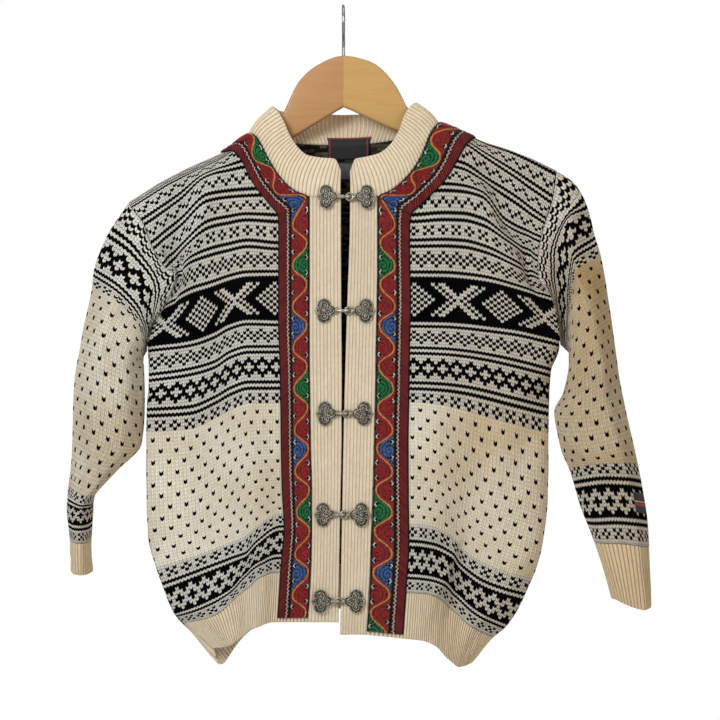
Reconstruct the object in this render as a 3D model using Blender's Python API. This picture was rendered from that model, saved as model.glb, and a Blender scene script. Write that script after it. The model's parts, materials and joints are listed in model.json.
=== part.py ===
# Patterned knitted cardigan with five hook clasps, on a wooden hanger.
# Every cloth piece is a thin shell cut from one set of garment surfaces; the
# tables below give those surfaces by stitch column and knit row.
import math

import bpy
import numpy as np

# --------------------------------------------------------------------------
# Board the garment is laid out on, in millimetres: "across" grows to the
# wearer's left (+X), "down" grows from the hook.  Stitch columns are counted
# from the front edge outwards, knit rows from the shoulder down.
# --------------------------------------------------------------------------
BOARD_CENTRE = 343.5      # across value of the centre line
BOARD_HOOK = 5.0          # down value of the point the hook bears on
MM = 0.001

ROW_TOP = -4.0            # knit row on the shoulder ridge
ROW_UNDERARM = 63.0       # knit row where body and sleeve part
ROW_RIB = 151.0           # knit row where the hem rib begins
ROW_END = 168.0           # last row of the hem rib
COL_SIDE = 50.0           # stitch column of the side seam / armhole
COL_BAND = -9.5           # free edge of the front band
COL_NECK = 17.0           # stitch column where neckline meets shoulder
BACK_NECK_DROP = 8.0      # rows the back neckline falls below the shoulder
BACK_HALF = COL_SIDE - COL_BAND          # 59.5 columns, centre back to side
RIBBON_COLS = 9.0         # width of the woven trim, in stitch columns
SLEEVE_RIB = 98.0         # sleeve row where the cuff begins
SLEEVE_END = 116.0        # last row of the cuff
SLEEVE_HALF = 38          # stitch columns in half of a sleeve

COLS = (0, 10, 18, 24, 30, 38, 50)       # stitch columns the tables name
# row: (across at the seven columns), (down at the seven columns)
FRONT_LEFT = (    # wearer's left front, +X
    (-4,  (377.5, 413.5, 443, 464, 486, 514.6, 557.5), (114, 116, 123, 131.5, 141, 150, 169.5)),
    (4,   (377.5, 413.5, 443, 464, 485.5, 512.5, 552.7), (134, 134, 135, 141, 154.5, 172, 199.5)),
    (12,  (377.5, 413.5, 443, 463, 482, 508, 545.4), (163, 162, 162, 166, 178, 194, 221)),
    (20,  (377.5, 413.5, 443, 462, 481, 506, 540.6), (192, 188.5, 187, 188.5, 194, 222, 239.5)),
    (28,  (377.5, 413.5, 443, 462, 482, 507, 538), (219, 218.5, 216.5, 217, 222, 239, 259)),
    (36,  (377.5, 413.5, 443, 463, 484, 510, 538.5), (244, 243.5, 243, 244, 249, 261, 277)),
    (45,  (377.5, 414, 443.5, 464, 486, 514, 551.5), (272.5, 272.3, 272.5, 274, 277, 284.5, 297)),
    (54,  (377, 414.5, 443.5, 465, 487.5, 517, 559), (299.5, 299.5, 300, 301.5, 304.5, 310, 322)),
    (63,  (376.5, 414, 443.5, 465, 487, 516, 561.5), (326.5, 326.5, 327, 328.5, 331, 335, 345.5)),
    (72,  (376, 413.5, 443, 464, 486, 514, 552), (350.5, 350.5, 351.5, 353.5, 357, 363, 373)),
    (84,  (375.5, 413, 442, 462.5, 484, 511, 550.5), (385.7, 385.7, 387, 389.5, 394, 401, 411)),
    (104, (374, 412, 441, 458, 478, 507, 549.3), (446, 446.5, 453.5, 465, 477, 486, 499)),
    (116, (373, 412, 437, 454, 471, 497, 544), (487, 487, 491, 501.5, 517.5, 529, 545)),
    (134, (371, 412.3, 431.7, 448.5, 460.3, 482, 525.5), (543, 543.3, 545.5, 553.5, 567, 583, 598.5)),
    (144, (370, 410.5, 429.5, 444, 456, 475, 508), (574, 574.3, 576, 581.5, 593.5, 610.5, 627.5)),
    (151, (369, 409, 427, 440, 452, 468, 495), (591.5, 591.8, 592.7, 598, 609, 624, 639)),
    (168, (366, 406, 424, 437, 448, 459, 472), (634, 638, 640, 646, 658.5, 667, 664)),
)
FRONT_RIGHT = (   # wearer's right front, -X
    (-4,  (309.5, 273, 244, 222, 200.6, 171.6, 128), (118, 120, 135, 151.5, 161, 175, 201)),
    (4,   (309.5, 273, 245, 223, 202, 173, 130), (136, 136, 141, 156, 166, 180, 206)),
    (12,  (309.5, 274, 246, 225, 205, 178, 142.6), (162, 161, 163.5, 169, 175, 197.5, 222)),
    (20,  (309.5, 275, 247, 227, 208, 182, 152), (192, 191.5, 192.6, 194.3, 198, 220.5, 246)),
    (28,  (309.5, 275, 247.5, 228, 210, 186, 164), (220, 218.5, 217, 220, 224, 243, 266)),
    (36,  (309.5, 275, 248, 228.5, 212, 190, 176), (247, 246, 243.7, 247.5, 251.5, 260.5, 277)),
    (45,  (309.5, 275, 248, 229, 213, 190, 166), (272, 271.6, 272, 276, 281.5, 289, 305)),
    (54,  (309.5, 275, 248, 229, 214, 191, 150), (299, 298.5, 299, 303, 309.5, 318, 329)),
    (63,  (309.5, 275, 248, 230, 214.5, 191, 146), (326, 325, 324.3, 329, 337.5, 345.5, 351)),
    (72,  (309.5, 276, 249, 231, 215, 191, 147.2), (350, 349.3, 349.5, 354.5, 364.5, 371.5, 378)),
    (84,  (310, 277, 250, 232, 215, 190, 144.7), (385, 385, 385, 390.5, 400, 410, 413)),
    (104, (311, 278, 254, 236, 218.5, 193, 144.6), (451, 451, 452.5, 459, 468, 480, 487)),
    (116, (312, 279, 257, 239, 221.5, 195.5, 145.8), (487, 486.5, 490, 499, 510, 523, 532)),
    (134, (312, 281, 258, 246, 231.5, 203, 161.5), (528.5, 528, 542, 554, 560.5, 571.5, 588)),
    (144, (311.5, 279, 260, 246, 233, 208.5, 174), (555.5, 554.5, 561.5, 573, 588, 602.5, 616)),
    (151, (311, 278, 262, 249, 237, 215.5, 183), (571, 571.5, 575.5, 586, 597, 615, 624)),
    (168, (308, 275, 260, 249, 242, 228.5, 212), (621.5, 621.5, 625.5, 630, 637, 646, 649.5)),
)
# row, free edge of the wearer's right band, free edge of the left band (across)
BAND_EDGE = ((-4, 341, 350), (23, 341, 350), (60, 341.5, 346.8), (84, 342, 344.8),
             (151, 339.2, 340.8), (168, 338.6, 340.2))
# row, depth of the front, depth of the back, size of the hanging fold (mm)
DEPTH = ((-4, 0, 0, 0), (-3.6, 4.6, 4.6, 0), (-2.8, 8.2, 8.2, 0), (-1.6, 10.5, 10.5, 0),
         (4, 14.8, 14.5, 0), (12, 20, 19, 0), (20, 24.5, 22, 0.5),
         (28, 27, 24, 1), (45, 30, 27, 1.5), (63, 32, 29, 2), (84, 34, 31, 4),
         (116, 37, 34, 7), (134, 39, 36, 8), (151, 38, 34, 8), (168, 33, 29, 6))
# row, column the shoulder fold runs on, its height (mm)
SHOULDER_FOLD = ((-4, 24, 0), (4, 26.5, 2), (12, 29.5, 5), (20, 34.2, 8), (28, 38.7, 9),
                 (36, 43, 6), (45, 46, 1.5), (54, 47, 0))
# stitch column, knit row of the front neckline
NECKLINE = ((0, 21.5), (4.5, 19.6), (9, 15.4), (13, 8.0), (15.6, 0.2), (16.6, -2.8), (17, -4))
# row, how far the armhole opens forward, and back
ARMHOLE = ((-4, 0, 0), (-3.6, 4.4, 4.4), (-2.8, 7.4, 7.4), (-1.6, 9, 9), (4, 13, 12.5), (12, 18, 17),
           (24, 23, 21), (36, 24, 22), (48, 20.5, 19), (56, 14, 13), (61, 6.5, 6.5), (63, 0, 0))
# sleeve row: five points (across, down, forward) from the outer edge over the
# front to the inner edge; the back is the same tube without the crease
SLEEVE_LEFT = (
    (0,   (557.5, 169.5, 0), (544.5, 223, 18), (538, 264, 23), (553, 300, 19), (561.5, 345.5, 0)),
    (4,   (575.5, 182, 0), (557.5, 217.5, 20.5), (545, 260.5, 22), (554.8, 299.8, 17), (563.3, 346.7, 0)),
    (8,   (587.5, 202, 0), (568, 216, 22), (552, 258, 20), (557, 300, 14), (565, 348, 0)),
    (20,  (597.5, 240, 0), (572, 260, 25), (569, 290, 14), (568, 322, 9), (568, 351, 0)),
    (28,  (603.5, 262, 0), (577, 279, 27), (572, 303, 19), (570, 331, 11), (570, 354, 0)),
    (40,  (612, 312, 0), (592, 326, 29), (574, 342, 26), (570, 354, 12), (570.5, 363, 0)),
    (52,  (618.5, 362, 0), (600, 374, 30), (580, 384, 31), (567.5, 392, 19), (564.5, 393, 0)),
    (62,  (626, 405, 0), (607, 411, 29), (583, 416, 31), (563, 417, 19), (555.5, 414, 0)),
    (70,  (634, 440, 0), (615, 445, 26), (591, 450, 29), (570.5, 452, 18), (562, 450, 0)),
    (77,  (641, 470, 0), (623, 468, 23), (601, 468, 26), (580, 471, 16), (572, 473, 0)),
    (86,  (647, 505, 0), (631, 502, 21), (609, 501, 24), (588.5, 503, 15), (580.5, 504, 0)),
    (98,  (651, 548, 0), (638, 546, 19), (619, 544, 21), (602, 544, 13), (595.5, 543, 0)),
    (116, (653.5, 609, 0), (645, 610.5, 16), (631, 607, 18), (618.5, 602, 11), (613, 600, 0)),
)
SLEEVE_RIGHT = (
    (0,   (128, 201, 0), (147, 233, 18), (170, 270, 23), (162, 311, 19), (146, 351, 0)),
    (8,   (108, 231, 0), (134, 252, 25), (157, 283, 28), (154, 313, 25), (143.5, 355, 0)),
    (20,  (92, 272, 0), (120, 290, 29), (141, 315, 27), (146, 334, 18), (142.5, 358.5, 0)),
    (28,  (89.3, 292, 0), (114, 306, 31), (136, 328, 27), (144, 345, 15), (142.5, 361, 0)),
    (40,  (80, 338, 0), (103, 347, 32), (124, 358, 30), (138, 366, 16), (143.3, 368, 0)),
    (52,  (72.6, 385, 0), (98, 396, 32), (122, 408, 29), (138, 415, 15), (143.6, 413, 0)),
    (62,  (71, 425, 0), (96, 437, 30), (119, 447, 25), (134, 449, 11), (140.5, 444, 0)),
    (70,  (69.3, 462, 0), (87, 470, 27), (103, 476, 23), (112, 474, 11), (115.5, 471, 0)),
    (77,  (66.6, 492, 0), (77, 497, 25), (85, 500, 28), (91, 500, 16), (93, 497, 0)),
    (86,  (65.6, 512, 0), (73, 514, 26), (79.5, 515, 31), (87.5, 514, 20), (91.5, 511, 0)),
    (98,  (68.3, 541, 0), (75, 543, 24), (81, 543.5, 28), (87, 543, 18), (90, 541, 0)),
    (116, (69, 573, 0), (75, 575, 21), (81, 575.5, 24), (87, 575, 16), (91, 573, 0)),
)
# collar: column on the front neckline, top edge (across, down, forward)
COLLAR_RIGHT = ((-9.5, 341, 171, 27), (-5, 334.5, 159, 27), (0, 321, 157.5, 26), (4, 307.5, 155, 25),
                (8, 298, 147, 23), (12, 289, 133, 19.5), (14, 283.5, 120, 16), (15.6, 278, 111, 12.5),
                (16.6, 273.5, 106.5, 8), (17, 271.5, 105.5, 0))
COLLAR_LEFT = ((-9.5, 350, 172, 27), (-5, 355.5, 159, 27), (0, 365, 157, 26), (4, 378, 153.5, 25),
               (8, 389.5, 145, 23), (12, 399, 130, 19.5), (14, 404, 116, 16), (15.6, 409, 107, 12.5),
               (16.6, 413.5, 102.3, 8), (17, 416, 101, 0))
# back of the collar: share of the way from centre back to the shoulder, down, back
COLLAR_BACK = ((0, 112, 26), (0.34, 110.8, 25), (0.68, 108.5, 20), (0.93, 104, 10))
COLLAR_ROLL = 3.5         # how far the collar bows out between its edges


def pchip(xk, yk, x):
    """Monotone cubic through (xk, yk); yk may have trailing axes."""
    xk = np.asarray(xk, float)
    yk = np.asarray(yk, float)
    single = np.ndim(x) == 0
    x = np.atleast_1d(np.asarray(x, float))
    h = np.diff(xk).reshape((len(xk) - 1,) + (1,) * (yk.ndim - 1))
    m = np.diff(yk, axis=0) / h
    d = np.zeros_like(yk)
    if len(xk) > 2:
        w1 = 2 * h[1:] + h[:-1]
        w2 = h[1:] + 2 * h[:-1]
        same = m[:-1] * m[1:] > 0
        with np.errstate(divide="ignore", invalid="ignore"):
            inner = (w1 + w2) / (w1 / m[:-1] + w2 / m[1:])
        d[1:-1] = np.where(same, np.nan_to_num(inner), 0.0)
    d[0], d[-1] = m[0], m[-1]
    i = np.clip(np.searchsorted(xk, x, side="right") - 1, 0, len(xk) - 2)
    hh = np.diff(xk)[i]
    t = np.clip((x - xk[i]) / hh, -1, 2)
    if yk.ndim > 1:
        tail = x.shape + (1,) * (yk.ndim - 1)
        t, hh = t.reshape(tail), hh.reshape(tail)
    out = (yk[i] * (2 * t ** 3 - 3 * t ** 2 + 1) + yk[i + 1] * (3 * t ** 2 - 2 * t ** 3)
           + hh * (d[i] * (t ** 3 - 2 * t ** 2 + t) + d[i + 1] * (t ** 3 - t ** 2)))
    return out[0] if single else out


def smooth_rows(rk, table, r):
    """Smooth interpolation down the rows: the monotone curve, eased a little."""
    return pchip(rk, table, r)


def column(table, name):
    return np.array([row[name] for row in table], float)


def neck_row(c):
    """Knit row of the front neckline at a stitch column."""
    return pchip(column(NECKLINE, 0), column(NECKLINE, 1), np.clip(c, 0, COL_NECK))


def back_neck_row(c):
    """Knit row of the back neckline at a stitch column."""
    wide = np.clip((c - COL_BAND) / (COL_NECK - COL_BAND), 0, 1)
    return ROW_TOP + BACK_NECK_DROP * np.sqrt(1 - wide ** 2)


def side_profile(u, r):
    """1 over the middle of a panel, 0 at its side: rounded below the underarm,
    straighter where the sleeve carries on from the armhole."""
    power = 1 - 0.5 * np.clip((r - 52.0) / (ROW_UNDERARM - 52.0), 0, 1)
    return np.clip(1 - np.clip(u, 0, 1) ** 4, 0, 1) ** power


def front_surface(table, edge, c, r):
    """Points (across, down, forward) on a front, for a grid of rows r x columns c."""
    rk = column(table, 0)
    xs = np.array([row[1] for row in table], float)
    ds = np.array([row[2] for row in table], float)
    cin = np.clip(c, 0, None)
    X = smooth_rows(rk, pchip(COLS, xs.T, cin).T, r)
    D = smooth_rows(rk, pchip(COLS, ds.T, cin).T, r)
    free = pchip(column(BAND_EDGE, 0), column(BAND_EDGE, edge), r)[:, None]
    t = np.clip(c / COL_BAND, 0, None)[None, :]
    x0 = smooth_rows(rk, xs[:, 0], r)[:, None]
    X = np.where(t > 0, x0 + (free - x0) * t, X)
    fall = pchip(column(DEPTH, 0), column(DEPTH, 1), r)[:, None]
    s = side_profile((cin / COL_SIDE)[None, :], r[:, None])
    arm = pchip(column(ARMHOLE, 0), column(ARMHOLE, 1), np.clip(r, ROW_TOP, ROW_UNDERARM))[:, None]
    F = fall * s + arm * (1 - s)
    hang = pchip(column(DEPTH, 0), column(DEPTH, 3), r)[:, None]
    cc = c[None, :]
    F = F + hang * (np.exp(-((cc - 18) / 6.0) ** 2) - np.exp(-((cc - 31) / 6.5) ** 2))
    fc = pchip(column(SHOULDER_FOLD, 0), column(SHOULDER_FOLD, 1), r)[:, None]
    fh = pchip(column(SHOULDER_FOLD, 0), column(SHOULDER_FOLD, 2), np.clip(r, -4, 54))[:, None]
    taper = np.clip((COL_SIDE - cc) / 4.0, 0, 1)
    F = F + fh * (0.6 * np.exp(-((cc - fc + 4) / 4.5) ** 2)
                  - 1.1 * taper * np.exp(-((cc - fc - 5) / 5.5) ** 2))
    return np.stack([X, D, F], -1)


def grid_of(surface, c0, c1, r0, r1, step=0.5):
    c = np.arange(c0, c1 + step / 2, step)
    r = np.arange(r0, r1 + step / 2, step)
    return dict(c0=c0, r0=r0, step=step, p=surface(c, r))


def look_up(g, c, r):
    """Bilinear reading of a fine grid at columns c and rows r (same shapes)."""
    c, r = np.broadcast_arrays(np.asarray(c, float), np.asarray(r, float))
    p = g["p"]
    i = (r - g["r0"]) / g["step"]
    j = (c - g["c0"]) / g["step"]
    i0 = np.clip(np.floor(i).astype(int), 0, p.shape[0] - 2)
    j0 = np.clip(np.floor(j).astype(int), 0, p.shape[1] - 2)
    fi = (i - i0)[..., None]
    fj = (j - j0)[..., None]
    return ((p[i0, j0] * (1 - fj) + p[i0, j0 + 1] * fj) * (1 - fi)
            + (p[i0 + 1, j0] * (1 - fj) + p[i0 + 1, j0 + 1] * fj) * fi)


def make_body():
    right = grid_of(lambda c, r: front_surface(FRONT_RIGHT, 1, c, r), COL_BAND, COL_SIDE, ROW_TOP, ROW_END)
    left = grid_of(lambda c, r: front_surface(FRONT_LEFT, 2, c, r), COL_BAND, COL_SIDE, ROW_TOP, ROW_END)

    def back_surface(b, r):
        c = np.abs(b) + COL_BAND
        wide = np.abs(b) / BACK_HALF
        out = np.zeros((len(r), len(b), 3))
        edge = {}
        for name, g, tip in (("r", right, -1), ("l", left, 1)):
            e = look_up(g, COL_SIDE, r)
            k = np.clip((r - ROW_TOP) / (ROW_UNDERARM - ROW_TOP), 0, 1)
            top, low = look_up(g, COL_SIDE, ROW_TOP), look_up(g, COL_SIDE, ROW_UNDERARM)
            plain = top[None, :] + (low - top)[None, :] * k[:, None]
            plain[:, 0] += -tip * 3.0 * np.sin(np.pi * k)
            e = np.where((k < 1)[:, None], plain, e)
            edge[name] = e
        centre_d = pchip((-4, 4, 12, 151, 168), (126, 150, 173, 568, 612), r)
        for k, bb in enumerate(b):
            g, e = (right, edge["r"]) if bb < 0 else (left, edge["l"])
            w = wide[k]
            top = look_up(g, max(c[k], COL_BAND), ROW_TOP)
            far = look_up(left if bb < 0 else right, max(c[k], COL_BAND), ROW_TOP)
            own = min(abs(bb) / 18.0, 1.0)         # the two shoulders meet smoothly
            own = 0.5 + 0.5 * own * own * (3 - 2 * own)
            half = (e[:, 0] - BOARD_CENTRE)
            top_half = look_up(g, COL_SIDE, ROW_TOP)[0] - BOARD_CENTRE
            if c[k] < 0:
                top_x = BOARD_CENTRE + (look_up(g, 0.0, ROW_TOP)[0] - BOARD_CENTRE) * abs(bb) / -COL_BAND
            else:
                top_x = top[0]
            share = (top_x - BOARD_CENTRE) / top_half
            even = share + (w - share) * np.clip((r - ROW_TOP) / 60.0, 0, 1)
            out[:, k, 0] = BOARD_CENTRE + half * even
            low = centre_d + (e[:, 1] - centre_d) * w ** 2.3
            fade = np.clip((r - ROW_TOP) / 22.0, 0, 1)
            fade = fade * fade * (3 - 2 * fade)
            high = top[1] * own + far[1] * (1 - own) + (r - ROW_TOP) * 3.0
            out[:, k, 1] = high * (1 - fade * (1 - w ** 8)) + low * fade * (1 - w ** 8)
            near = w ** 12 * np.clip((r - ROW_TOP) / 9.0, 0, 1)
            out[:, k, 1] = np.where(w > 0.999, e[:, 1], out[:, k, 1] * (1 - near) + e[:, 1] * near)
            s = side_profile(w, r)
            arm = pchip(column(ARMHOLE, 0), column(ARMHOLE, 2), np.clip(r, ROW_TOP, ROW_UNDERARM))
            fall = pchip(column(DEPTH, 0), column(DEPTH, 2), r)
            hang = pchip(column(DEPTH, 0), column(DEPTH, 3), r) * 0.7
            wave = (np.exp(-((bb - 24) / 8.0) ** 2) + np.exp(-((bb + 30) / 7.0) ** 2)
                    - np.exp(-((bb - 40) / 6.5) ** 2) - 0.8 * np.exp(-((bb + 8) / 9.0) ** 2)
                    - np.exp(-((bb + 45) / 6.0) ** 2))
            out[:, k, 2] = -(fall * s + arm * (1 - s) + hang * wave)
        return out

    back = grid_of(back_surface, -BACK_HALF, BACK_HALF, ROW_TOP, ROW_END)
    return right, left, back


def make_sleeve(table, front, back, sign):
    """Sleeve grid: columns are shares 0..1 round the tube (outer edge, front,
    inner edge, back, outer edge), rows are sleeve rows."""
    sk = column(table, 0)
    rings = np.array([row[1:] for row in table], float)
    share = np.array((0, .125, .25, .375, .5))
    fine = np.linspace(0, 0.5, 101)
    s = np.arange(0, SLEEVE_END + 0.25, 0.5)
    ctrl = pchip(sk, rings, s)
    front_half = np.stack([pchip(share, ring, fine) for ring in ctrl])
    depth = np.array([ring[:, 2].max() for ring in ctrl])
    t = np.linspace(0, 1, 101)
    o, u = ctrl[:, 0][:, None, :], ctrl[:, 4][:, None, :]
    bow = np.sin(np.pi * t) ** 0.8
    back_half = u + (o - u) * t[None, :, None]
    back_half[:, :, 2] = -0.92 * depth[:, None] * bow[None, :]
    p = np.concatenate([front_half, back_half[:, 1:]], 1)
    rows = np.concatenate([ROW_TOP + (ROW_UNDERARM - ROW_TOP) * fine / 0.5,
                           ROW_UNDERARM + (ROW_TOP - ROW_UNDERARM) * t[1:]])
    armhole = np.concatenate([look_up(front, COL_SIDE, rows[:101]),
                              look_up(back, sign * BACK_HALF, rows[101:])])
    fade = np.clip(1 - s / 14.0, 0, 1) ** 2
    p = p + (armhole - p[0])[None] * fade[:, None, None]
    return dict(c0=0.0, r0=0.0, step=0.5, p=p, share=1)


def look_sleeve(g, share, s):
    """share 0..1 round, s sleeve row."""
    p = g["p"]
    share, s = np.broadcast_arrays(np.asarray(share, float), np.asarray(s, float))
    i, j = s / 0.5, share * (p.shape[1] - 1)
    i0 = np.clip(np.floor(i).astype(int), 0, p.shape[0] - 2)
    j0 = np.clip(np.floor(j).astype(int), 0, p.shape[1] - 2)
    fi, fj = (i - i0)[..., None], (j - j0)[..., None]
    return ((p[i0, j0] * (1 - fj) + p[i0, j0 + 1] * fj) * (1 - fi)
            + (p[i0 + 1, j0] * (1 - fj) + p[i0 + 1, j0 + 1] * fj) * fi)


def world(p):
    """Board (across, down, forward) in mm to metres, +Z up, front towards -Y."""
    p = np.asarray(p, float)
    return np.stack([(p[..., 0] - BOARD_CENTRE) * MM, -p[..., 2] * MM,
                     (BOARD_HOOK - p[..., 1]) * MM], -1)


# --------------------------------------------------------------------------
# driving sizes (millimetres)
# --------------------------------------------------------------------------
KNIT_WALL = 2.5           # stranded knit
RIB_WALL = 3.0            # ribbed pieces and the doubled collar
TRIM_WALL = 1.2           # woven trim
LABEL_WALL = 0.7
SEAM_GAP = 0.3            # air between neighbouring pieces
TRIM_LIFT = 0.5           # trim above the panel it lies on
NECK_TRIM_LIFT = 1.15     # and where it runs round the neck
HANGER_THICK = 12.0
HANGER_ROUND = 3.5        # rounding of the wood's long edges
WIRE_DIAMETER = 3.3
HOOK_INNER_RADIUS = 15.0
HOOK_ENTRY = 10.0         # how deep the wire sits in the wood
CLASP_THICK = 1.8
CLASP_RADIUS = 11.5
CLASP_POINTS = 18
EYE_REACH = 15.5          # plate centre to the middle of its eye
EYE_OUTER, EYE_HOLE = 4.4, 2.7
CLASP_LIFT = (2.6, 0.7, 0.7, 0.7, 0.7)     # plates above the band, top to hem

# stitch columns and knit rows at which the faceted panels are cut
FRONT_COLS = (0, 4.5, 9, 13, 15.6, 16.6, 17, 22, 26.5, 31, 35.5, 40, 44.5, 48, 50)
ROW_STEPS = (0, 0.5, 1.4, 3.5, 8, 14, 22, 30, 38, 46, 54, 61, 67, 75, 87, 100, 114, 128, 142, 155)
NECK_BACK = (0, 9, 18, 24.6)               # back columns inside the neck
SLEEVE_ROWS = (0, 4, 10, 18, 27, 38, 50, 61, 70, 78, 88, 98)
CUFF_ROWS = (98, 107, 116)
HEM_ROWS = (151, 159.5, 168)
COLLAR_STEPS = (0, 0.35, 0.7, 1.0)
# trim stations: row of the inner edge on the neckline, outer (column, row)
TRIM_LEFT = ((-4, 27.3, -4), (-3.5, 27.1, -3.5), (-2.6, 26.9, -2.6), (-0.5, 26.4, -0.5), (4, 25.2, 4),
             (10, 22.7, 10), (15.4, 19, 17.5), (19.6, 14, 23), (21.7, 9.4, 27.3))
TRIM_RIGHT = ((-4, 24.5, -4), (-3.5, 24.3, -3.5), (-2.6, 24.1, -2.6), (-0.5, 23.5, -0.5), (4, 22.2, 4),
              (10, 19.7, 10), (15.4, 16.3, 17.5), (19.6, 12, 23.5), (21.7, 9.2, 27.5))
UNDERARM_ROOM = 1.4       # extra start gap of a sleeve at the underarm
UNDERARM_EASE = 4.0       # and of the body panels beside it
# how many times the usual half gap a piece keeps at its first edge
FIRST_EDGE = {"sleeve_left": 6.0, "sleeve_right": 6.0, "hem_rib_front_right": 3.6, "hem_rib_front_left": 1.6}
# clasp plates: across on the wearer's right, across on the left, down
CLASPS = ((328, 365, 197.5), (326, 364, 311), (327, 362, 413.5), (325, 359.5, 514), (322.5, 354.5, 600))
# hanger half: across, top edge (0: follows the shoulder), lower edge
HANGER_RIGHT = ((343.35, 54, 106), (336, 55.2, 110.4), (328, 58, 115.2), (320, 62, 120), (312, 67, 124.9),
                (304, 74, 129.7), (298, 81, 133.4), (292, 92, 137), (287, 103, 140.5), (282, 113, 143.5),
                (274, 121, 148.5), (264, 130, 154), (254, 137.5, 160), (246, 142, 164), (232, 0, 171),
                (216, 0, 179), (196, 0, 189), (178, 0, 198), (168, 0, 203), (163, 187, 204))
HANGER_LEFT = ((343.65, 54, 106), (352, 54.8, 109.5), (360, 56.8, 113.2), (368, 59, 117), (376, 63, 120.8),
               (384, 69.5, 124.5), (391, 77.5, 127.5), (398, 87.5, 130.5), (403, 97, 133), (407, 105, 135.5),
               (415, 114, 139), (425, 122.5, 143.5), (434, 128.5, 147.5), (443, 131.5, 151.5), (456, 0, 157),
                (474, 0, 164), (494, 0, 173), (508, 0, 179), (517, 0, 183), (523, 167, 183))
BACK_TRIM_STEPS = (-1, -0.97, -0.92, -0.85, -0.72, -0.5, -0.25, 0, 0.25, 0.5, 0.72, 0.85, 0.92, 0.97, 1)
BACK_TRIM_DROP = 18.0     # rows from the shoulder to the trim's lower edge
NECK_LABEL_COLS = (-4.4, 0, 7.4)
CARE_TAG_COLS = (-2.4, 0, 5.2)
BADGE_ROWS = (83.3, 86.0, 88.0, 88.7)      # sleeve rows
BADGE_SHARES = (0.0122, 0.0261, 0.0597, 0.1045, 0.13)   # shares round the sleeve
ARM_BELOW_RIDGE = 6.4     # wood below the outside of the shoulder

FRONT_ROWS = np.array(ROW_STEPS, float) + ROW_TOP          # -4 .. 151
FRONT_SHARE = np.array(ROW_STEPS, float) / ROW_STEPS[-1]


# --------------------------------------------------------------------------
# panels as grids of points [row, column]
# --------------------------------------------------------------------------
def row_at(share, top):
    """Rows run from the panel's top edge to the rib, denser by the shoulder."""
    return top + (ROW_RIB - top) * share


def front_panel(g):
    cols = np.array(FRONT_COLS, float)
    rows = row_at(FRONT_SHARE[:, None], neck_row(cols)[None, :])
    return look_up(g, cols[None, :], rows)


def lower_rib(g, cols):
    return look_up(g, np.array(cols, float)[None, :], np.array(HEM_ROWS, float)[:, None])


def back_cols():
    half = [c - COL_BAND for c in FRONT_COLS if c >= COL_NECK]
    side = list(NECK_BACK) + half
    return np.array([-b for b in side[::-1]] + side[1:], float)


def back_panel(g):
    b = back_cols()
    rows = row_at(FRONT_SHARE[:, None], back_neck_row(np.abs(b) + COL_BAND)[None, :])
    return look_up(g, b[None, :], rows)


def band_panel(g):
    cols = np.array((COL_BAND, COL_BAND / 2, 0), float)
    rows = np.concatenate([row_at(FRONT_SHARE, float(neck_row(0.0))), np.array(HEM_ROWS[1:], float)])
    return look_up(g, cols[None, :], rows[:, None])


def tube_rows():
    """Shares round the sleeve that meet the armhole's own points."""
    rows = [r for r in FRONT_ROWS if r <= ROW_UNDERARM + 1e-6]
    front = [(r - ROW_TOP) / (ROW_UNDERARM - ROW_TOP) * 0.5 for r in rows]
    back = [1 - f for f in front[::-1]]
    return np.array(front + back[1:-1], float)


def collar_panel(right, left, back):
    cols = [COL_BAND, COL_BAND / 2] + [c for c in FRONT_COLS if c <= COL_NECK]
    low, high = [], []
    for g, table, sign in ((right, COLLAR_RIGHT, -1), (left, COLLAR_LEFT, 1)):
        bottom = [look_up(g, c, float(neck_row(c))) for c in cols]
        top = [pchip(column(table, 0), np.array([row[1:] for row in table], float), c) for c in cols]
        low.append(bottom)
        high.append(top)
    share = column(COLLAR_BACK, 0)
    half = COL_NECK - COL_BAND
    ends = {-1: high[0][-1], 1: high[1][-1]}
    low_all, high_all = list(low[0]), list(high[0])
    for b in [-b for b in NECK_BACK[::-1]] + list(NECK_BACK[1:]):
        low_all.append(look_up(back, b, float(back_neck_row(abs(b) + COL_BAND))))
        end = ends[-1 if b < 0 else 1]
        k = abs(b) / half
        across = BOARD_CENTRE + (end[0] - BOARD_CENTRE) * np.sin(k * math.pi / 2)
        down = pchip(np.append(share, 1.0), np.append(column(COLLAR_BACK, 1), end[1]), k)
        deep = pchip(np.append(share, 1.0), np.append(column(COLLAR_BACK, 2), 0.0), k)
        high_all.append(np.array([across, down, -deep]))
    low_all += list(low[1])[::-1]
    high_all += list(high[1])[::-1]
    low_all, high_all = np.array(low_all), np.array(high_all)
    grid = []
    for t in COLLAR_STEPS:
        grid.append(high_all + (low_all - high_all) * t)
    grid = np.array(grid)
    mid = 0.5 * (low_all + high_all)
    out = mid[:, [0, 2]] - np.array([BOARD_CENTRE, 0.0])
    out /= np.linalg.norm(out, axis=1)[:, None] + 1e-9
    out[:2] = out[-2:] = 0.0               # the front ends hang straight
    bow = COLLAR_ROLL * np.sin(np.pi * np.array(COLLAR_STEPS))
    grid[:, :, 0] += bow[:, None] * out[None, :, 0]
    grid[:, :, 2] += bow[:, None] * out[None, :, 1]
    return grid


# --------------------------------------------------------------------------
# shells
# --------------------------------------------------------------------------
def unit(v):
    return v / np.maximum(np.linalg.norm(v, axis=-1, keepdims=True), 1e-12)


def point_normals(p, sign, around):
    """Area-weighted normals of a grid; sign +1 or -1 turns them outward."""
    n = np.zeros_like(p)
    rows, cols = p.shape[:2]
    for j in range(cols if around else cols - 1):
        k = (j + 1) % cols
        a, b, c, d = p[:-1, j], p[:-1, k], p[1:, k], p[1:, j]
        q = np.cross(c - a, d - b)
        n[:-1, j] += q
        n[:-1, k] += q
        n[1:, k] += q
        n[1:, j] += q
    return unit(n) * sign


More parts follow.
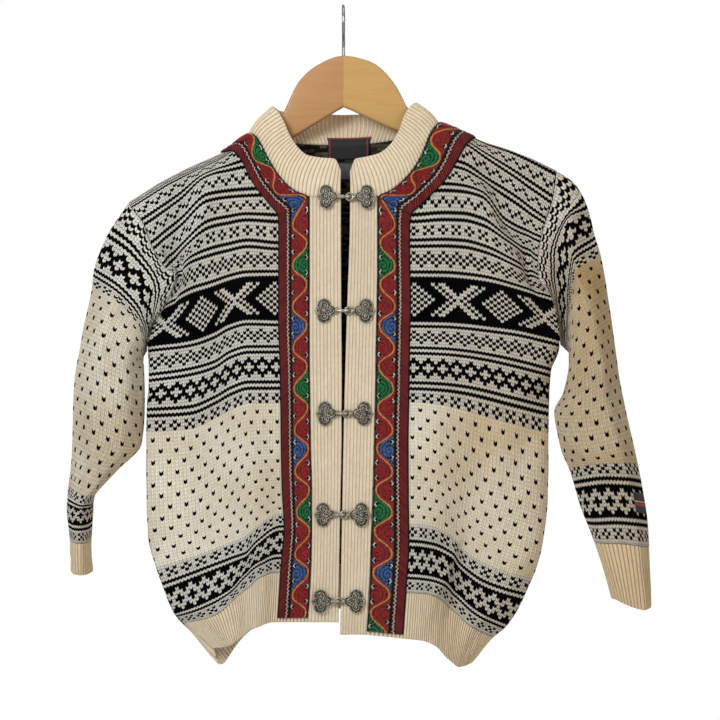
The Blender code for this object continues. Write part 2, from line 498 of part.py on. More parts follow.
class Panel:
    def __init__(self, name, board, sign, wall, colour, around=False):
        self.name, self.wall, self.colour, self.around = name, wall, colour, around
        self.sign = sign
        self.p = world(board)
        self.n = point_normals(self.p, sign, around)

    def border(self):
        rows, cols = self.p.shape[:2]
        ring = {(0, j) for j in range(cols)} | {(rows - 1, j) for j in range(cols)}
        if not self.around:
            ring |= {(i, 0) for i in range(rows)} | {(i, cols - 1) for i in range(rows)}
        return sorted(ring)


def weld_normals(panels):
    """Gives every point shared by neighbouring panels one place and one normal."""
    keys = [(q, i, j) for q in panels for i, j in q.border()]
    pos = np.array([q.p[i, j] for q, i, j in keys])
    nor = np.array([q.n[i, j] for q, i, j in keys])
    near = np.linalg.norm(pos[:, None] - pos[None], axis=2) < 0.0004
    for k, (q, i, j) in enumerate(keys):
        total = nor[near[k]].sum(axis=0)
        if np.linalg.norm(total) < 0.35:
            total = total + np.array([0, 0, -1.0])
        q.n[i, j] = unit(total)
        q.p[i, j] = pos[near[k]].mean(axis=0)


def pull_edges(p, around, gap, first=1.0):
    """Moves each open edge half a seam gap back into its own panel; a sleeve's
    first edge keeps more room towards the underarm, its middle point."""
    out = p.copy()

    def pulled(edge, nxt):
        return unit(nxt - edge) * gap

    start = pulled(p[0], p[1])
    if around:                             # along the tube rather than the row
        start = 0.5 * start + 0.5 * unit(p[3 if len(p) > 3 else 1].mean(axis=0) - p[0].mean(axis=0)) * gap
        low = 1 - np.abs(np.arange(p.shape[1]) / (p.shape[1] / 2) - 1)
        start *= (1 + UNDERARM_ROOM * np.clip((low - 0.7) / 0.3, 0, 1))[:, None]
    out[0] += start * first
    out[-1] += pulled(p[-1], p[-2])
    if not around:
        side = np.ones((len(p), 1))
        if len(p) == len(FRONT_ROWS):      # fronts and back ease off the underarm
            side += UNDERARM_EASE * np.exp(-((FRONT_ROWS - ROW_UNDERARM) / 6.0) ** 2)[:, None]
        out[:, 0] += pulled(p[:, 0], p[:, 1]) * side
        out[:, -1] += pulled(p[:, -1], p[:, -2]) * side
    return out


def paint(obj, name, colour):
    mat = bpy.data.materials.new(name)
    mat.use_nodes = True
    bsdf = mat.node_tree.nodes["Principled BSDF"]
    bsdf.inputs["Base Color"].default_value = (*colour, 1.0)
    bsdf.inputs["Roughness"].default_value = 0.85
    obj.data.materials.append(mat)


def add_mesh(name, verts, faces, colour):
    mesh = bpy.data.meshes.new(name)
    mesh.from_pydata([tuple(v) for v in verts], [], faces)
    mesh.update()
    obj = bpy.data.objects.new(name, mesh)
    bpy.context.scene.collection.objects.link(obj)
    paint(obj, name, colour)
    return obj


def add_shell(name, outer, inner, around, sign, colour):
    """Closed shell between two grids of points."""
    rows, cols = outer.shape[:2]
    verts = np.concatenate([outer.reshape(-1, 3), inner.reshape(-1, 3)])
    base = rows * cols

    def at(i, j, layer):
        return layer * base + i * cols + j % cols

    faces = []
    span = cols if around else cols - 1
    for i in range(rows - 1):
        for j in range(span):
            faces.append((at(i, j, 0), at(i, j + 1, 0), at(i + 1, j + 1, 0), at(i + 1, j, 0)))
            faces.append((at(i, j, 1), at(i + 1, j, 1), at(i + 1, j + 1, 1), at(i, j + 1, 1)))
    for j in range(span):
        faces.append((at(0, j, 0), at(0, j, 1), at(0, j + 1, 1), at(0, j + 1, 0)))
        faces.append((at(rows - 1, j, 0), at(rows - 1, j + 1, 0), at(rows - 1, j + 1, 1), at(rows - 1, j, 1)))
    if not around:
        for i in range(rows - 1):
            faces.append((at(i, 0, 0), at(i + 1, 0, 0), at(i + 1, 0, 1), at(i, 0, 1)))
            faces.append((at(i, cols - 1, 0), at(i, cols - 1, 1), at(i + 1, cols - 1, 1), at(i + 1, cols - 1, 0)))
    if sign < 0:
        faces = [f[::-1] for f in faces]
    return add_mesh(name, verts, faces, colour)


def build_panel(q):
    edge = SEAM_GAP / 2 * MM
    outer = pull_edges(q.p, q.around, edge, FIRST_EDGE.get(q.name, 1.0))
    inner = outer - q.n * q.wall * MM
    return add_shell(q.name, outer, inner, q.around, q.sign, q.colour)


def on_panel(q_cols, q_rows, p, n, c, r):
    """Point and normal on a faceted panel at column c and row r (bilinear)."""
    j = int(np.clip(np.searchsorted(q_cols, c, side="right") - 1, 0, len(q_cols) - 2))
    fj = (c - q_cols[j]) / (q_cols[j + 1] - q_cols[j])
    rows = q_rows[:, j] * (1 - fj) + q_rows[:, j + 1] * fj
    i = int(np.clip(np.searchsorted(rows, r, side="right") - 1, 0, len(rows) - 2))
    fi = (r - rows[i]) / (rows[i + 1] - rows[i])

    def mix(a):
        return ((a[i, j] * (1 - fj) + a[i, j + 1] * fj) * (1 - fi)
                + (a[i + 1, j] * (1 - fj) + a[i + 1, j + 1] * fj) * fi)

    return mix(p), unit(mix(n))


def halved(pairs):
    """Adds a station midway between the neck stations below the shoulder."""
    out = []
    for k, (a, b) in enumerate(pairs):
        out.append((a, b))
        if k + 1 < len(pairs) and 3 <= k <= 8:
            c, d = pairs[k + 1]
            out.append((((a[0] + c[0]) / 2, (a[1] + c[1]) / 2), ((b[0] + d[0]) / 2, (b[1] + d[1]) / 2)))
    return out


def add_trim(name, cols, q_rows, p, n, pairs, sign, steps=None):
    low, high = [], []
    for inner, outer in pairs:
        neck = inner[1] < 24
        lift = NECK_TRIM_LIFT if neck else TRIM_LIFT
        row_low, row_high = [], []
        for t in (0.0, 0.33, 0.67, 1.0):
            c = inner[0] + (outer[0] - inner[0]) * t
            r = inner[1] + (outer[1] - inner[1]) * t
            a, b = on_panel(cols, q_rows, p, n, c, r)
            row_low.append(a + b * lift * MM)
            row_high.append(a + b * (lift + TRIM_WALL) * MM)
        low.append(row_low)
        high.append(row_high)
    low, high = np.array(low), np.array(high)
    ends = (0, -1) if steps else (0,)
    for e in ends:
        nxt = 1 if e == 0 else -2
        for layer in (low, high):
            layer[e] += unit(layer[nxt] - layer[e]) * 0.45 * MM
    add_shell(name, high, low, False, sign, (0.42, 0.08, 0.08))


def add_inside(name, parts, b_at, b_cols, colour):
    """Small flat piece against the inner face of the neck, from panel points."""
    off = RIB_WALL + SEAM_GAP + 0.3
    near, far = [], []
    first = int(np.argmin(np.abs(b_cols - 0)))
    for p, n, steps in parts:
        mid = p.shape[1] // 2
        for st in steps:
            i = int(min(st, p.shape[0] - 2))
            f = st - i
            row_near, row_far = [], []
            for b in b_at:
                j = mid if b >= 0 else mid - 1
                c0, c1 = b_cols[first + (j - mid)], b_cols[first + (j - mid) + 1]
                g = (b - c0) / (c1 - c0)
                q = (p[i, j] * (1 - g) + p[i, j + 1] * g) * (1 - f) + (p[i + 1, j] * (1 - g) + p[i + 1, j + 1] * g) * f
                m = unit((n[i, j] * (1 - g) + n[i, j + 1] * g) * (1 - f)
                         + (n[i + 1, j] * (1 - g) + n[i + 1, j + 1] * g) * f)
                row_near.append(q - m * off * MM)
                row_far.append(q - m * (off + LABEL_WALL) * MM)
            near.append(row_near)
            far.append(row_far)
    add_shell(name, np.array(near), np.array(far), False, 1, colour)


# --------------------------------------------------------------------------
# hard pieces
# --------------------------------------------------------------------------
def hanger_half(name, table, side, ridge):
    """Flat wood plate from its outline, with rounded long edges."""
    top = [(row[0], row[1] if row[1] else ridge(row[0]) + ARM_BELOW_RIDGE) for row in table]
    table = [(a, b, row[2]) for (a, b), row in zip(top, table)]
    low = [(row[0], row[2]) for row in table]
    ring = top + low[::-1]
    half = HANGER_THICK / 2
    pts = np.array(ring, float)
    centre_line = np.array([((row[1] + row[2]) / 2) for row in table])
    mids = np.array([(row[0], m) for row, m in zip(table, centre_line)])
    mids = np.concatenate([mids, mids[::-1]])
    inward = unit(np.stack([mids[:, 0] - pts[:, 0], mids[:, 1] - pts[:, 1]], -1))
    layers = []
    for deep, pull in ((half, HANGER_ROUND), (half - HANGER_ROUND * 0.3, HANGER_ROUND * 0.28),
                       (half - HANGER_ROUND, 0.0), (-half + HANGER_ROUND, 0.0),
                       (-half + HANGER_ROUND * 0.3, HANGER_ROUND * 0.28), (-half, HANGER_ROUND)):
        layer = pts + inward * pull
        layers.append(np.column_stack([layer, np.full(len(layer), deep)]))
    verts = world(np.concatenate(layers))
    n = len(ring)
    faces = []
    for k in range(len(layers) - 1):
        for j in range(n):
            a, b = k * n + j, k * n + (j + 1) % n
            faces.append((a, b, b + n, a + n))
    last = (len(layers) - 1) * n
    for j in range(len(table) - 1):
        a, b, c, d = j, j + 1, n - 2 - j, n - 1 - j
        faces.append((d, c, b, a))
        faces.append((a + last, b + last, c + last, d + last))
    if side < 0:
        faces = [f[::-1] for f in faces]
    return add_mesh(name, verts, faces, (0.60, 0.38, 0.20))


def hook_wire():
    radius = HOOK_INNER_RADIUS + WIRE_DIAMETER / 2
    top = -HOOK_INNER_RADIUS - WIRE_DIAMETER / 2 + WIRE_DIAMETER / 2
    path = []
    for k in range(17):
        a = math.radians(205 - k * 270 / 16)
        path.append((-radius * math.cos(a), top + radius * math.sin(a)))
    wood_top = (BOARD_HOOK - HANGER_LEFT[0][1])
    path += [(-radius * 0.17, top - radius * 1.13), (-0.6, top - radius * 1.32), (0.0, top - radius * 1.6),
             (0.0, wood_top - HOOK_ENTRY)]
    curve = bpy.data.curves.new("hook_wire", "CURVE")
    curve.dimensions = "3D"
    line = curve.splines.new("POLY")
    line.points.add(len(path) - 1)
    for point, (y, z) in zip(line.points, path):
        point.co = (0.0, y * MM, z * MM, 1.0)
    curve.bevel_depth = WIRE_DIAMETER / 2 * MM
    curve.bevel_resolution = 2
    curve.use_fill_caps = True
    obj = bpy.data.objects.new("hook_wire", curve)
    bpy.context.scene.collection.objects.link(obj)
    paint(obj, "hook_wire", (0.55, 0.55, 0.56))
    return obj


def bore_for_hook(halves):
    z_top = (BOARD_HOOK - HANGER_LEFT[0][1] + 4) * MM
    z_low = (BOARD_HOOK - HANGER_LEFT[0][1] - HOOK_ENTRY - 0.5) * MM
    bpy.ops.mesh.primitive_cylinder_add(vertices=16, radius=(WIRE_DIAMETER / 2 + 0.4) * MM,
                                        depth=z_top - z_low, location=(0, 0, (z_top + z_low) / 2))
    cutter = bpy.context.object
    cutter.name = "hook_bore_cutter"
    cutter.hide_render = True
    cutter.display_type = "WIRE"
    for obj in halves:
        mod = obj.modifiers.new("hook bore", "BOOLEAN")
        mod.operation = "DIFFERENCE"
        mod.solver = "EXACT"
        mod.object = cutter


def trefoil(turn):
    """Outline of three round lobes, one towards the opening; turn +1 is the hook side."""
    pts = []
    for k in range(CLASP_POINTS):
        a = 2 * math.pi * (k + 0.5) / CLASP_POINTS
        r = CLASP_RADIUS * (0.82 + 0.18 * math.cos(3 * a))
        pts.append((turn * r * math.cos(a), r * math.sin(a)))
    return pts if turn > 0 else pts[::-1]


def disc(x, radius, count=12):
    return [(x + radius * math.cos(2 * math.pi * k / count), radius * math.sin(2 * math.pi * k / count))
            for k in range(count)]


def frame_at(normal):
    z = unit(np.array(normal, float))
    x = unit(np.cross(np.array([0, 0, 1.0]), z))
    return x, np.cross(z, x), z


def slab(name, centre, frame, outline, levels, colour):
    """Flat solid: an outline (across, up) at each (height, scale) level."""
    x, y, z = frame
    n = len(outline)
    ox = sum(a for a, _ in outline) / n
    verts, faces = [], []
    for lift, scale in levels:
        for a, b in outline:
            verts.append(centre + (x * (ox + (a - ox) * scale) + y * b * scale + z * lift) * MM)
    for k in range(len(levels) - 1):
        for j in range(n):
            a, b = k * n + j, k * n + (j + 1) % n
            faces.append((a, b, b + n, a + n))
    faces.append(tuple(range(n))[::-1])
    last = (len(levels) - 1) * n
    faces.append(tuple(range(last, last + n)))
    return add_mesh(name, verts, faces, colour)


def helper(obj):
    obj.hide_render = True
    obj.display_type = "WIRE"
    return obj


def combine(obj, other, operation):
    mod = obj.modifiers.new(other.name, "BOOLEAN")
    mod.operation = operation
    mod.solver = "EXACT"
    mod.object = helper(other)


def clasp_pair(k, right, left, across_right, across_left, down):
    grey = (0.16, 0.155, 0.15)
    rows = np.linspace(ROW_TOP, ROW_END, 600)
    spots, normals = [], []
    for g, across in ((right, across_right), (left, across_left)):
        line = look_up(g, COL_BAND / 2, rows)
        row = float(np.interp(down, line[:, 1], rows))
        up = world(look_up(g, COL_BAND / 2, row - 2.5)) - world(look_up(g, COL_BAND / 2, row + 2.5))
        wide = world(look_up(g, 0.0, row)) - world(look_up(g, COL_BAND, row))
        normal = unit(np.cross(wide, up))
        normals.append(normal if normal[1] < 0 else -normal)
        spots.append((across, down, look_up(g, COL_BAND / 2, row)[2]))
    normal = unit(normals[0] + normals[1])
    frame = frame_at(normal)
    deep = max(spots[0][2], spots[1][2])
    reach = across_left - across_right - EYE_REACH
    for part, spot, turn in (("hook", spots[0], 1), ("eye", spots[1], -1)):
        centre = world((spot[0], spot[1], deep)) + normal * CLASP_LIFT[k - 1] * MM
        name = "clasp_%d_%s" % (k, part)
        levels = ((0, 1.0), (CLASP_THICK * 0.6, 1.0), (CLASP_THICK, 0.88))
        body = slab(name, centre, frame, trefoil(turn), levels, grey)
        if part == "hook":
            bar = [(5.0, -1.4), (reach + 1.0, -1.4), (reach + 1.0, 1.4), (5.0, 1.4)]
            combine(body, slab(name + "_bar", centre, frame, bar, ((1.3, 1.0), (2.9, 1.0)), grey), "UNION")
            tip = [(reach - 1.0, -1.2), (reach + 0.8, -1.2), (reach + 0.8, 1.2), (reach - 1.0, 1.2)]
            combine(body, slab(name + "_tip", centre, frame, tip, ((0.1, 1.0), (2.0, 1.0)), grey), "UNION")
        else:
            tab = [(-5.0, -2.4), (-5.0, 2.4)] + [
                (-EYE_REACH + EYE_OUTER * math.cos(a), EYE_OUTER * math.sin(a))
                for a in [math.radians(v) for v in range(55, 306, 25)]]
            combine(body, slab(name + "_tab", centre, frame, tab, ((0.15, 1.0), (1.05, 1.0)), grey), "UNION")
            combine(body, slab(name + "_hole", centre, frame, disc(-EYE_REACH, EYE_HOLE), ((-1, 1.0), (3, 1.0)),
                               grey), "DIFFERENCE")


def clear_scene():
    for obj in list(bpy.data.objects):
        bpy.data.objects.remove(obj, do_unlink=True)


def main():
    clear_scene()
    right, left, back = make_body()
    sleeve_l = make_sleeve(SLEEVE_LEFT, left, back, 1)
    sleeve_r = make_sleeve(SLEEVE_RIGHT, right, back, -1)
    cream, patterned, light = (0.72, 0.64, 0.50), (0.45, 0.42, 0.36), (0.78, 0.71, 0.58)

    fr = Panel("front_right", front_panel(right), 1, KNIT_WALL, patterned)
    fl = Panel("front_left", front_panel(left), -1, KNIT_WALL, patterned)
    bk = Panel("back", back_panel(back), 1, KNIT_WALL, patterned)
    side_cols = FRONT_COLS
    hr = Panel("hem_rib_front_right", lower_rib(right, side_cols), 1, RIB_WALL, light)
    hl = Panel("hem_rib_front_left", lower_rib(left, side_cols), -1, RIB_WALL, light)
    hb = Panel("hem_rib_back", lower_rib(back, back_cols()), 1, RIB_WALL, light)
    br = Panel("band_right", band_panel(right), 1, RIB_WALL, light)
    bl = Panel("band_left", band_panel(left), -1, RIB_WALL, light)
    co = Panel("collar", collar_panel(right, left, back), 1, RIB_WALL, light)
    shares = tube_rows()
    rows = np.array(SLEEVE_ROWS, float)
    cuff = np.array(CUFF_ROWS, float)
    sl = Panel("sleeve_left", look_sleeve(sleeve_l, shares[None], rows[:, None]), 1, KNIT_WALL, patterned, True)
    sr = Panel("sleeve_right", look_sleeve(sleeve_r, shares[None], rows[:, None]), -1, KNIT_WALL, patterned, True)
    cl = Panel("cuff_left", look_sleeve(sleeve_l, shares[None], cuff[:, None]), 1, RIB_WALL, light, True)
    cr = Panel("cuff_right", look_sleeve(sleeve_r, shares[None], cuff[:, None]), -1, RIB_WALL, light, True)
    panels = [fr, fl, bk, hr, hl, hb, br, bl, co, sl, sr, cl, cr]
    weld_normals(panels)
    for q in panels:
        build_panel(q)

    # woven trim: one length each side, from the shoulder round the neck, mitred
    # at the corner and down to the hem
    cols = np.array(FRONT_COLS, float)
    fine = np.linspace(0, COL_NECK, 200)
    for name, q, rib, stations in (("trim_right", fr, hr, TRIM_RIGHT), ("trim_left", fl, hl, TRIM_LEFT)):
        front_rows = row_at(FRONT_SHARE[:, None], neck_row(cols)[None, :])
        rib_rows = np.repeat(np.array(HEM_ROWS[1:], float)[:, None], len(cols), 1)
        q_rows = np.concatenate([front_rows, rib_rows])
        p = np.concatenate([q.p, rib.p[1:]])
        n = np.concatenate([q.n, rib.n[1:]])
        pairs = []
        for row, c_out, r_out in stations:
            c_in = float(np.interp(row, neck_row(fine)[::-1], fine[::-1])) if row < 21.5 else 0.0
            pairs.append(((c_in + 0.12, max(row, float(neck_row(c_in + 0.12)))), (c_out, r_out)))
        for i in range(len(q_rows)):
            if q_rows[i, 0] > 30:
                pairs.append(((0.1, min(q_rows[i, 0], 166.5)), (9.0, min(q_rows[i, 2], 166.5))))
        add_trim(name, cols, q_rows, p, n, halved(pairs), q.sign)

    # the same trim carried round the back of the neck
    b_cols = back_cols()
    b_rows = row_at(FRONT_SHARE[:, None], back_neck_row(np.abs(b_cols) + COL_BAND)[None, :])
    pairs = []
    for k in BACK_TRIM_STEPS:
        turn = math.sin(k * math.pi / 2)
        reach = (TRIM_LEFT if k > 0 else TRIM_RIGHT)[0][1] - COL_BAND
        b_in = (COL_NECK - COL_BAND) * turn
        r_in = float(back_neck_row(abs(b_in) + COL_BAND))
        pairs.append(((b_in, r_in + 0.15), (reach * turn, ROW_TOP + BACK_TRIM_DROP * math.cos(k * math.pi / 2) + 0.15)))
    add_trim("trim_back", b_cols, b_rows, bk.p, bk.n, pairs, -bk.sign, BACK_TRIM_STEPS)

    # woven label and care tag inside the back of the neck
    add_inside("neck_label", [(co.p[-2:], co.n[-2:], (0.45, 1.0)), (bk.p[:5], bk.n[:5], (3.1,))],
               NECK_LABEL_COLS, b_cols, (0.06, 0.06, 0.10))
    add_inside("care_tag", [(bk.p[:6], bk.n[:6], (3.3, 4.35))], CARE_TAG_COLS, b_cols, (0.45, 0.45, 0.44))

    # woven badge near the wearer's left cuff
    low, high = [], []
    for s in BADGE_ROWS:
        at = [on_panel(shares, np.repeat(rows[:, None], len(shares), 1), sl.p, sl.n, sh, s) for sh in BADGE_SHARES]
        low.append([a + b * 0.6 * MM for a, b in at])
        high.append([a + b * (0.6 + LABEL_WALL) * MM for a, b in at])
    add_shell("sleeve_badge", np.array(high), np.array(low), False, sl.sign, (0.10, 0.08, 0.12))

    def ridge(across):
        g = right if across < BOARD_CENTRE else left
        line = look_up(g, np.linspace(COL_NECK, COL_SIDE, 120), ROW_TOP)
        order = np.argsort(line[:, 0])
        return float(np.interp(across, line[order, 0], line[order, 1]))

    halves = [hanger_half("hanger_half_right", HANGER_RIGHT, -1, ridge),
              hanger_half("hanger_half_left", HANGER_LEFT, 1, ridge)]
    hook_wire()
    bore_for_hook(halves)

    for k, (across_right, across_left, down) in enumerate(CLASPS, 1):
        clasp_pair(k, right, left, across_right, across_left, down)


main()
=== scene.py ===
"""Looks of a stranded-knit nordic cardigan on a wooden hanger: knitted stitches,
ribs, woven trim, cast clasps, wood and wire, made around the fixed frame."""
import json
import math

import bpy
import numpy as np
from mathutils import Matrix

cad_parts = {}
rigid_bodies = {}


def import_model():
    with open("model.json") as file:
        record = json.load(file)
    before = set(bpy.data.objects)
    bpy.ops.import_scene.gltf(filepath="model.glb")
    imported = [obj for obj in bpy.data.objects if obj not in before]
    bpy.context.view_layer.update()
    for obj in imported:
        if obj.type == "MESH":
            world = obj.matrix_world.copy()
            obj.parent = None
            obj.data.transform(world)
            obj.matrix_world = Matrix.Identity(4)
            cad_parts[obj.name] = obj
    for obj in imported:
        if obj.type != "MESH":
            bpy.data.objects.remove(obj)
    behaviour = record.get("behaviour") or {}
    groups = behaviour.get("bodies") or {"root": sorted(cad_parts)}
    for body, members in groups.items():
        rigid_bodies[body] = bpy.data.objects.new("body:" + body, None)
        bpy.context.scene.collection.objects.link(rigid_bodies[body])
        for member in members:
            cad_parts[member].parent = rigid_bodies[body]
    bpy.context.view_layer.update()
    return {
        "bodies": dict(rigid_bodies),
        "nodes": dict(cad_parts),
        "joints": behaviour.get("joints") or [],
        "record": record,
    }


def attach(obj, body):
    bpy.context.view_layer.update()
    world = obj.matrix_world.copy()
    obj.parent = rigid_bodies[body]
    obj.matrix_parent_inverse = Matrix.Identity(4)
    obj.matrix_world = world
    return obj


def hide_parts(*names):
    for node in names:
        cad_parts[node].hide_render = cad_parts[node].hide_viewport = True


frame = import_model()


# --------------------------------------------------------------------------
# Board the garment is laid out on, in millimetres: "across" grows to the
# wearer's left (+X), "down" grows from the hook.  Stitch columns are counted
# from the front edge outwards, knit rows from the shoulder down.
# --------------------------------------------------------------------------
BOARD_CENTRE = 343.5      # across value of the centre line
BOARD_HOOK = 5.0          # down value of the point the hook bears on
MM = 0.001

ROW_TOP = -4.0            # knit row on the shoulder ridge
ROW_UNDERARM = 63.0       # knit row where body and sleeve part
ROW_RIB = 151.0           # knit row where the hem rib begins
ROW_END = 168.0           # last row of the hem rib
COL_SIDE = 50.0           # stitch column of the side seam / armhole
COL_BAND = -9.5           # free edge of the front band
COL_NECK = 17.0           # stitch column where neckline meets shoulder
BACK_NECK_DROP = 8.0      # rows the back neckline falls below the shoulder
BACK_HALF = COL_SIDE - COL_BAND          # 59.5 columns, centre back to side
RIBBON_COLS = 9.0         # width of the woven trim, in stitch columns
SLEEVE_RIB = 98.0         # sleeve row where the cuff begins
SLEEVE_END = 116.0        # last row of the cuff
SLEEVE_HALF = 38          # stitch columns in half of a sleeve

COLS = (0, 10, 18, 24, 30, 38, 50)       # stitch columns the tables name
# row: (across at the seven columns), (down at the seven columns)
FRONT_LEFT = (    # wearer's left front, +X
    (-4,  (377.5, 413.5, 443, 464, 486, 514.6, 557.5), (114, 116, 123, 131.5, 141, 150, 169.5)),
    (4,   (377.5, 413.5, 443, 464, 485.5, 512.5, 552.7), (134, 134, 135, 141, 154.5, 172, 199.5)),
    (12,  (377.5, 413.5, 443, 463, 482, 508, 545.4), (163, 162, 162, 166, 178, 194, 221)),
    (20,  (377.5, 413.5, 443, 462, 481, 506, 540.6), (192, 188.5, 187, 188.5, 194, 222, 239.5)),
    (28,  (377.5, 413.5, 443, 462, 482, 507, 538), (219, 218.5, 216.5, 217, 222, 239, 259)),
    (36,  (377.5, 413.5, 443, 463, 484, 510, 538.5), (244, 243.5, 243, 244, 249, 261, 277)),
    (45,  (377.5, 414, 443.5, 464, 486, 514, 551.5), (272.5, 272.3, 272.5, 274, 277, 284.5, 297)),
    (54,  (377, 414.5, 443.5, 465, 487.5, 517, 559), (299.5, 299.5, 300, 301.5, 304.5, 310, 322)),
    (63,  (376.5, 414, 443.5, 465, 487, 516, 561.5), (326.5, 326.5, 327, 328.5, 331, 335, 345.5)),
    (72,  (376, 413.5, 443, 464, 486, 514, 552), (350.5, 350.5, 351.5, 353.5, 357, 363, 373)),
    (84,  (375.5, 413, 442, 462.5, 484, 511, 550.5), (385.7, 385.7, 387, 389.5, 394, 401, 411)),
    (104, (374, 412, 441, 458, 478, 507, 549.3), (446, 446.5, 453.5, 465, 477, 486, 499)),
    (116, (373, 412, 437, 454, 471, 497, 544), (487, 487, 491, 501.5, 517.5, 529, 545)),
    (134, (371, 412.3, 431.7, 448.5, 460.3, 482, 525.5), (543, 543.3, 545.5, 553.5, 567, 583, 598.5)),
    (144, (370, 410.5, 429.5, 444, 456, 475, 508), (574, 574.3, 576, 581.5, 593.5, 610.5, 627.5)),
    (151, (369, 409, 427, 440, 452, 468, 495), (591.5, 591.8, 592.7, 598, 609, 624, 639)),
    (168, (366, 406, 424, 437, 448, 459, 472), (634, 638, 640, 646, 658.5, 667, 664)),
)
FRONT_RIGHT = (   # wearer's right front, -X
    (-4,  (309.5, 273, 244, 222, 200.6, 171.6, 128), (118, 120, 135, 151.5, 161, 175, 201)),
    (4,   (309.5, 273, 245, 223, 202, 173, 130), (136, 136, 141, 156, 166, 180, 206)),
    (12,  (309.5, 274, 246, 225, 205, 178, 142.6), (162, 161, 163.5, 169, 175, 197.5, 222)),
    (20,  (309.5, 275, 247, 227, 208, 182, 152), (192, 191.5, 192.6, 194.3, 198, 220.5, 246)),
    (28,  (309.5, 275, 247.5, 228, 210, 186, 164), (220, 218.5, 217, 220, 224, 243, 266)),
    (36,  (309.5, 275, 248, 228.5, 212, 190, 176), (247, 246, 243.7, 247.5, 251.5, 260.5, 277)),
    (45,  (309.5, 275, 248, 229, 213, 190, 166), (272, 271.6, 272, 276, 281.5, 289, 305)),
    (54,  (309.5, 275, 248, 229, 214, 191, 150), (299, 298.5, 299, 303, 309.5, 318, 329)),
    (63,  (309.5, 275, 248, 230, 214.5, 191, 146), (326, 325, 324.3, 329, 337.5, 345.5, 351)),
    (72,  (309.5, 276, 249, 231, 215, 191, 147.2), (350, 349.3, 349.5, 354.5, 364.5, 371.5, 378)),
    (84,  (310, 277, 250, 232, 215, 190, 144.7), (385, 385, 385, 390.5, 400, 410, 413)),
    (104, (311, 278, 254, 236, 218.5, 193, 144.6), (451, 451, 452.5, 459, 468, 480, 487)),
    (116, (312, 279, 257, 239, 221.5, 195.5, 145.8), (487, 486.5, 490, 499, 510, 523, 532)),
    (134, (312, 281, 258, 246, 231.5, 203, 161.5), (528.5, 528, 542, 554, 560.5, 571.5, 588)),
    (144, (311.5, 279, 260, 246, 233, 208.5, 174), (555.5, 554.5, 561.5, 573, 588, 602.5, 616)),
    (151, (311, 278, 262, 249, 237, 215.5, 183), (571, 571.5, 575.5, 586, 597, 615, 624)),
    (168, (308, 275, 260, 249, 242, 228.5, 212), (621.5, 621.5, 625.5, 630, 637, 646, 649.5)),
)
# row, free edge of the wearer's right band, free edge of the left band (across)
BAND_EDGE = ((-4, 341, 350), (23, 341, 350), (60, 341.5, 346.8), (84, 342, 344.8),
             (151, 339.2, 340.8), (168, 338.6, 340.2))
# row, depth of the front, depth of the back, size of the hanging fold (mm)
DEPTH = ((-4, 0, 0, 0), (-3.6, 4.6, 4.6, 0), (-2.8, 8.2, 8.2, 0), (-1.6, 10.5, 10.5, 0),
         (4, 14.8, 14.5, 0), (12, 20, 19, 0), (20, 24.5, 22, 0.5),
         (28, 27, 24, 1), (45, 30, 27, 1.5), (63, 32, 29, 2), (84, 34, 31, 4),
         (116, 37, 34, 7), (134, 39, 36, 8), (151, 38, 34, 8), (168, 33, 29, 6))
# row, column the shoulder fold runs on, its height (mm)
SHOULDER_FOLD = ((-4, 24, 0), (4, 26.5, 2), (12, 29.5, 5), (20, 34.2, 8), (28, 38.7, 9),
                 (36, 43, 6), (45, 46, 1.5), (54, 47, 0))
# stitch column, knit row of the front neckline
NECKLINE = ((0, 21.5), (4.5, 19.6), (9, 15.4), (13, 8.0), (15.6, 0.2), (16.6, -2.8), (17, -4))
# row, how far the armhole opens forward, and back
ARMHOLE = ((-4, 0, 0), (-3.6, 4.4, 4.4), (-2.8, 7.4, 7.4), (-1.6, 9, 9), (4, 13, 12.5), (12, 18, 17),
           (24, 23, 21), (36, 24, 22), (48, 20.5, 19), (56, 14, 13), (61, 6.5, 6.5), (63, 0, 0))
# sleeve row: five points (across, down, forward) from the outer edge over the
# front to the inner edge; the back is the same tube without the crease
SLEEVE_LEFT = (
    (0,   (557.5, 169.5, 0), (544.5, 223, 18), (538, 264, 23), (553, 300, 19), (561.5, 345.5, 0)),
    (4,   (575.5, 182, 0), (557.5, 217.5, 20.5), (545, 260.5, 22), (554.8, 299.8, 17), (563.3, 346.7, 0)),
    (8,   (587.5, 202, 0), (568, 216, 22), (552, 258, 20), (557, 300, 14), (565, 348, 0)),
    (20,  (597.5, 240, 0), (572, 260, 25), (569, 290, 14), (568, 322, 9), (568, 351, 0)),
    (28,  (603.5, 262, 0), (577, 279, 27), (572, 303, 19), (570, 331, 11), (570, 354, 0)),
    (40,  (612, 312, 0), (592, 326, 29), (574, 342, 26), (570, 354, 12), (570.5, 363, 0)),
    (52,  (618.5, 362, 0), (600, 374, 30), (580, 384, 31), (567.5, 392, 19), (564.5, 393, 0)),
    (62,  (626, 405, 0), (607, 411, 29), (583, 416, 31), (563, 417, 19), (555.5, 414, 0)),
    (70,  (634, 440, 0), (615, 445, 26), (591, 450, 29), (570.5, 452, 18), (562, 450, 0)),
    (77,  (641, 470, 0), (623, 468, 23), (601, 468, 26), (580, 471, 16), (572, 473, 0)),
    (86,  (647, 505, 0), (631, 502, 21), (609, 501, 24), (588.5, 503, 15), (580.5, 504, 0)),
    (98,  (651, 548, 0), (638, 546, 19), (619, 544, 21), (602, 544, 13), (595.5, 543, 0)),
    (116, (653.5, 609, 0), (645, 610.5, 16), (631, 607, 18), (618.5, 602, 11), (613, 600, 0)),
)
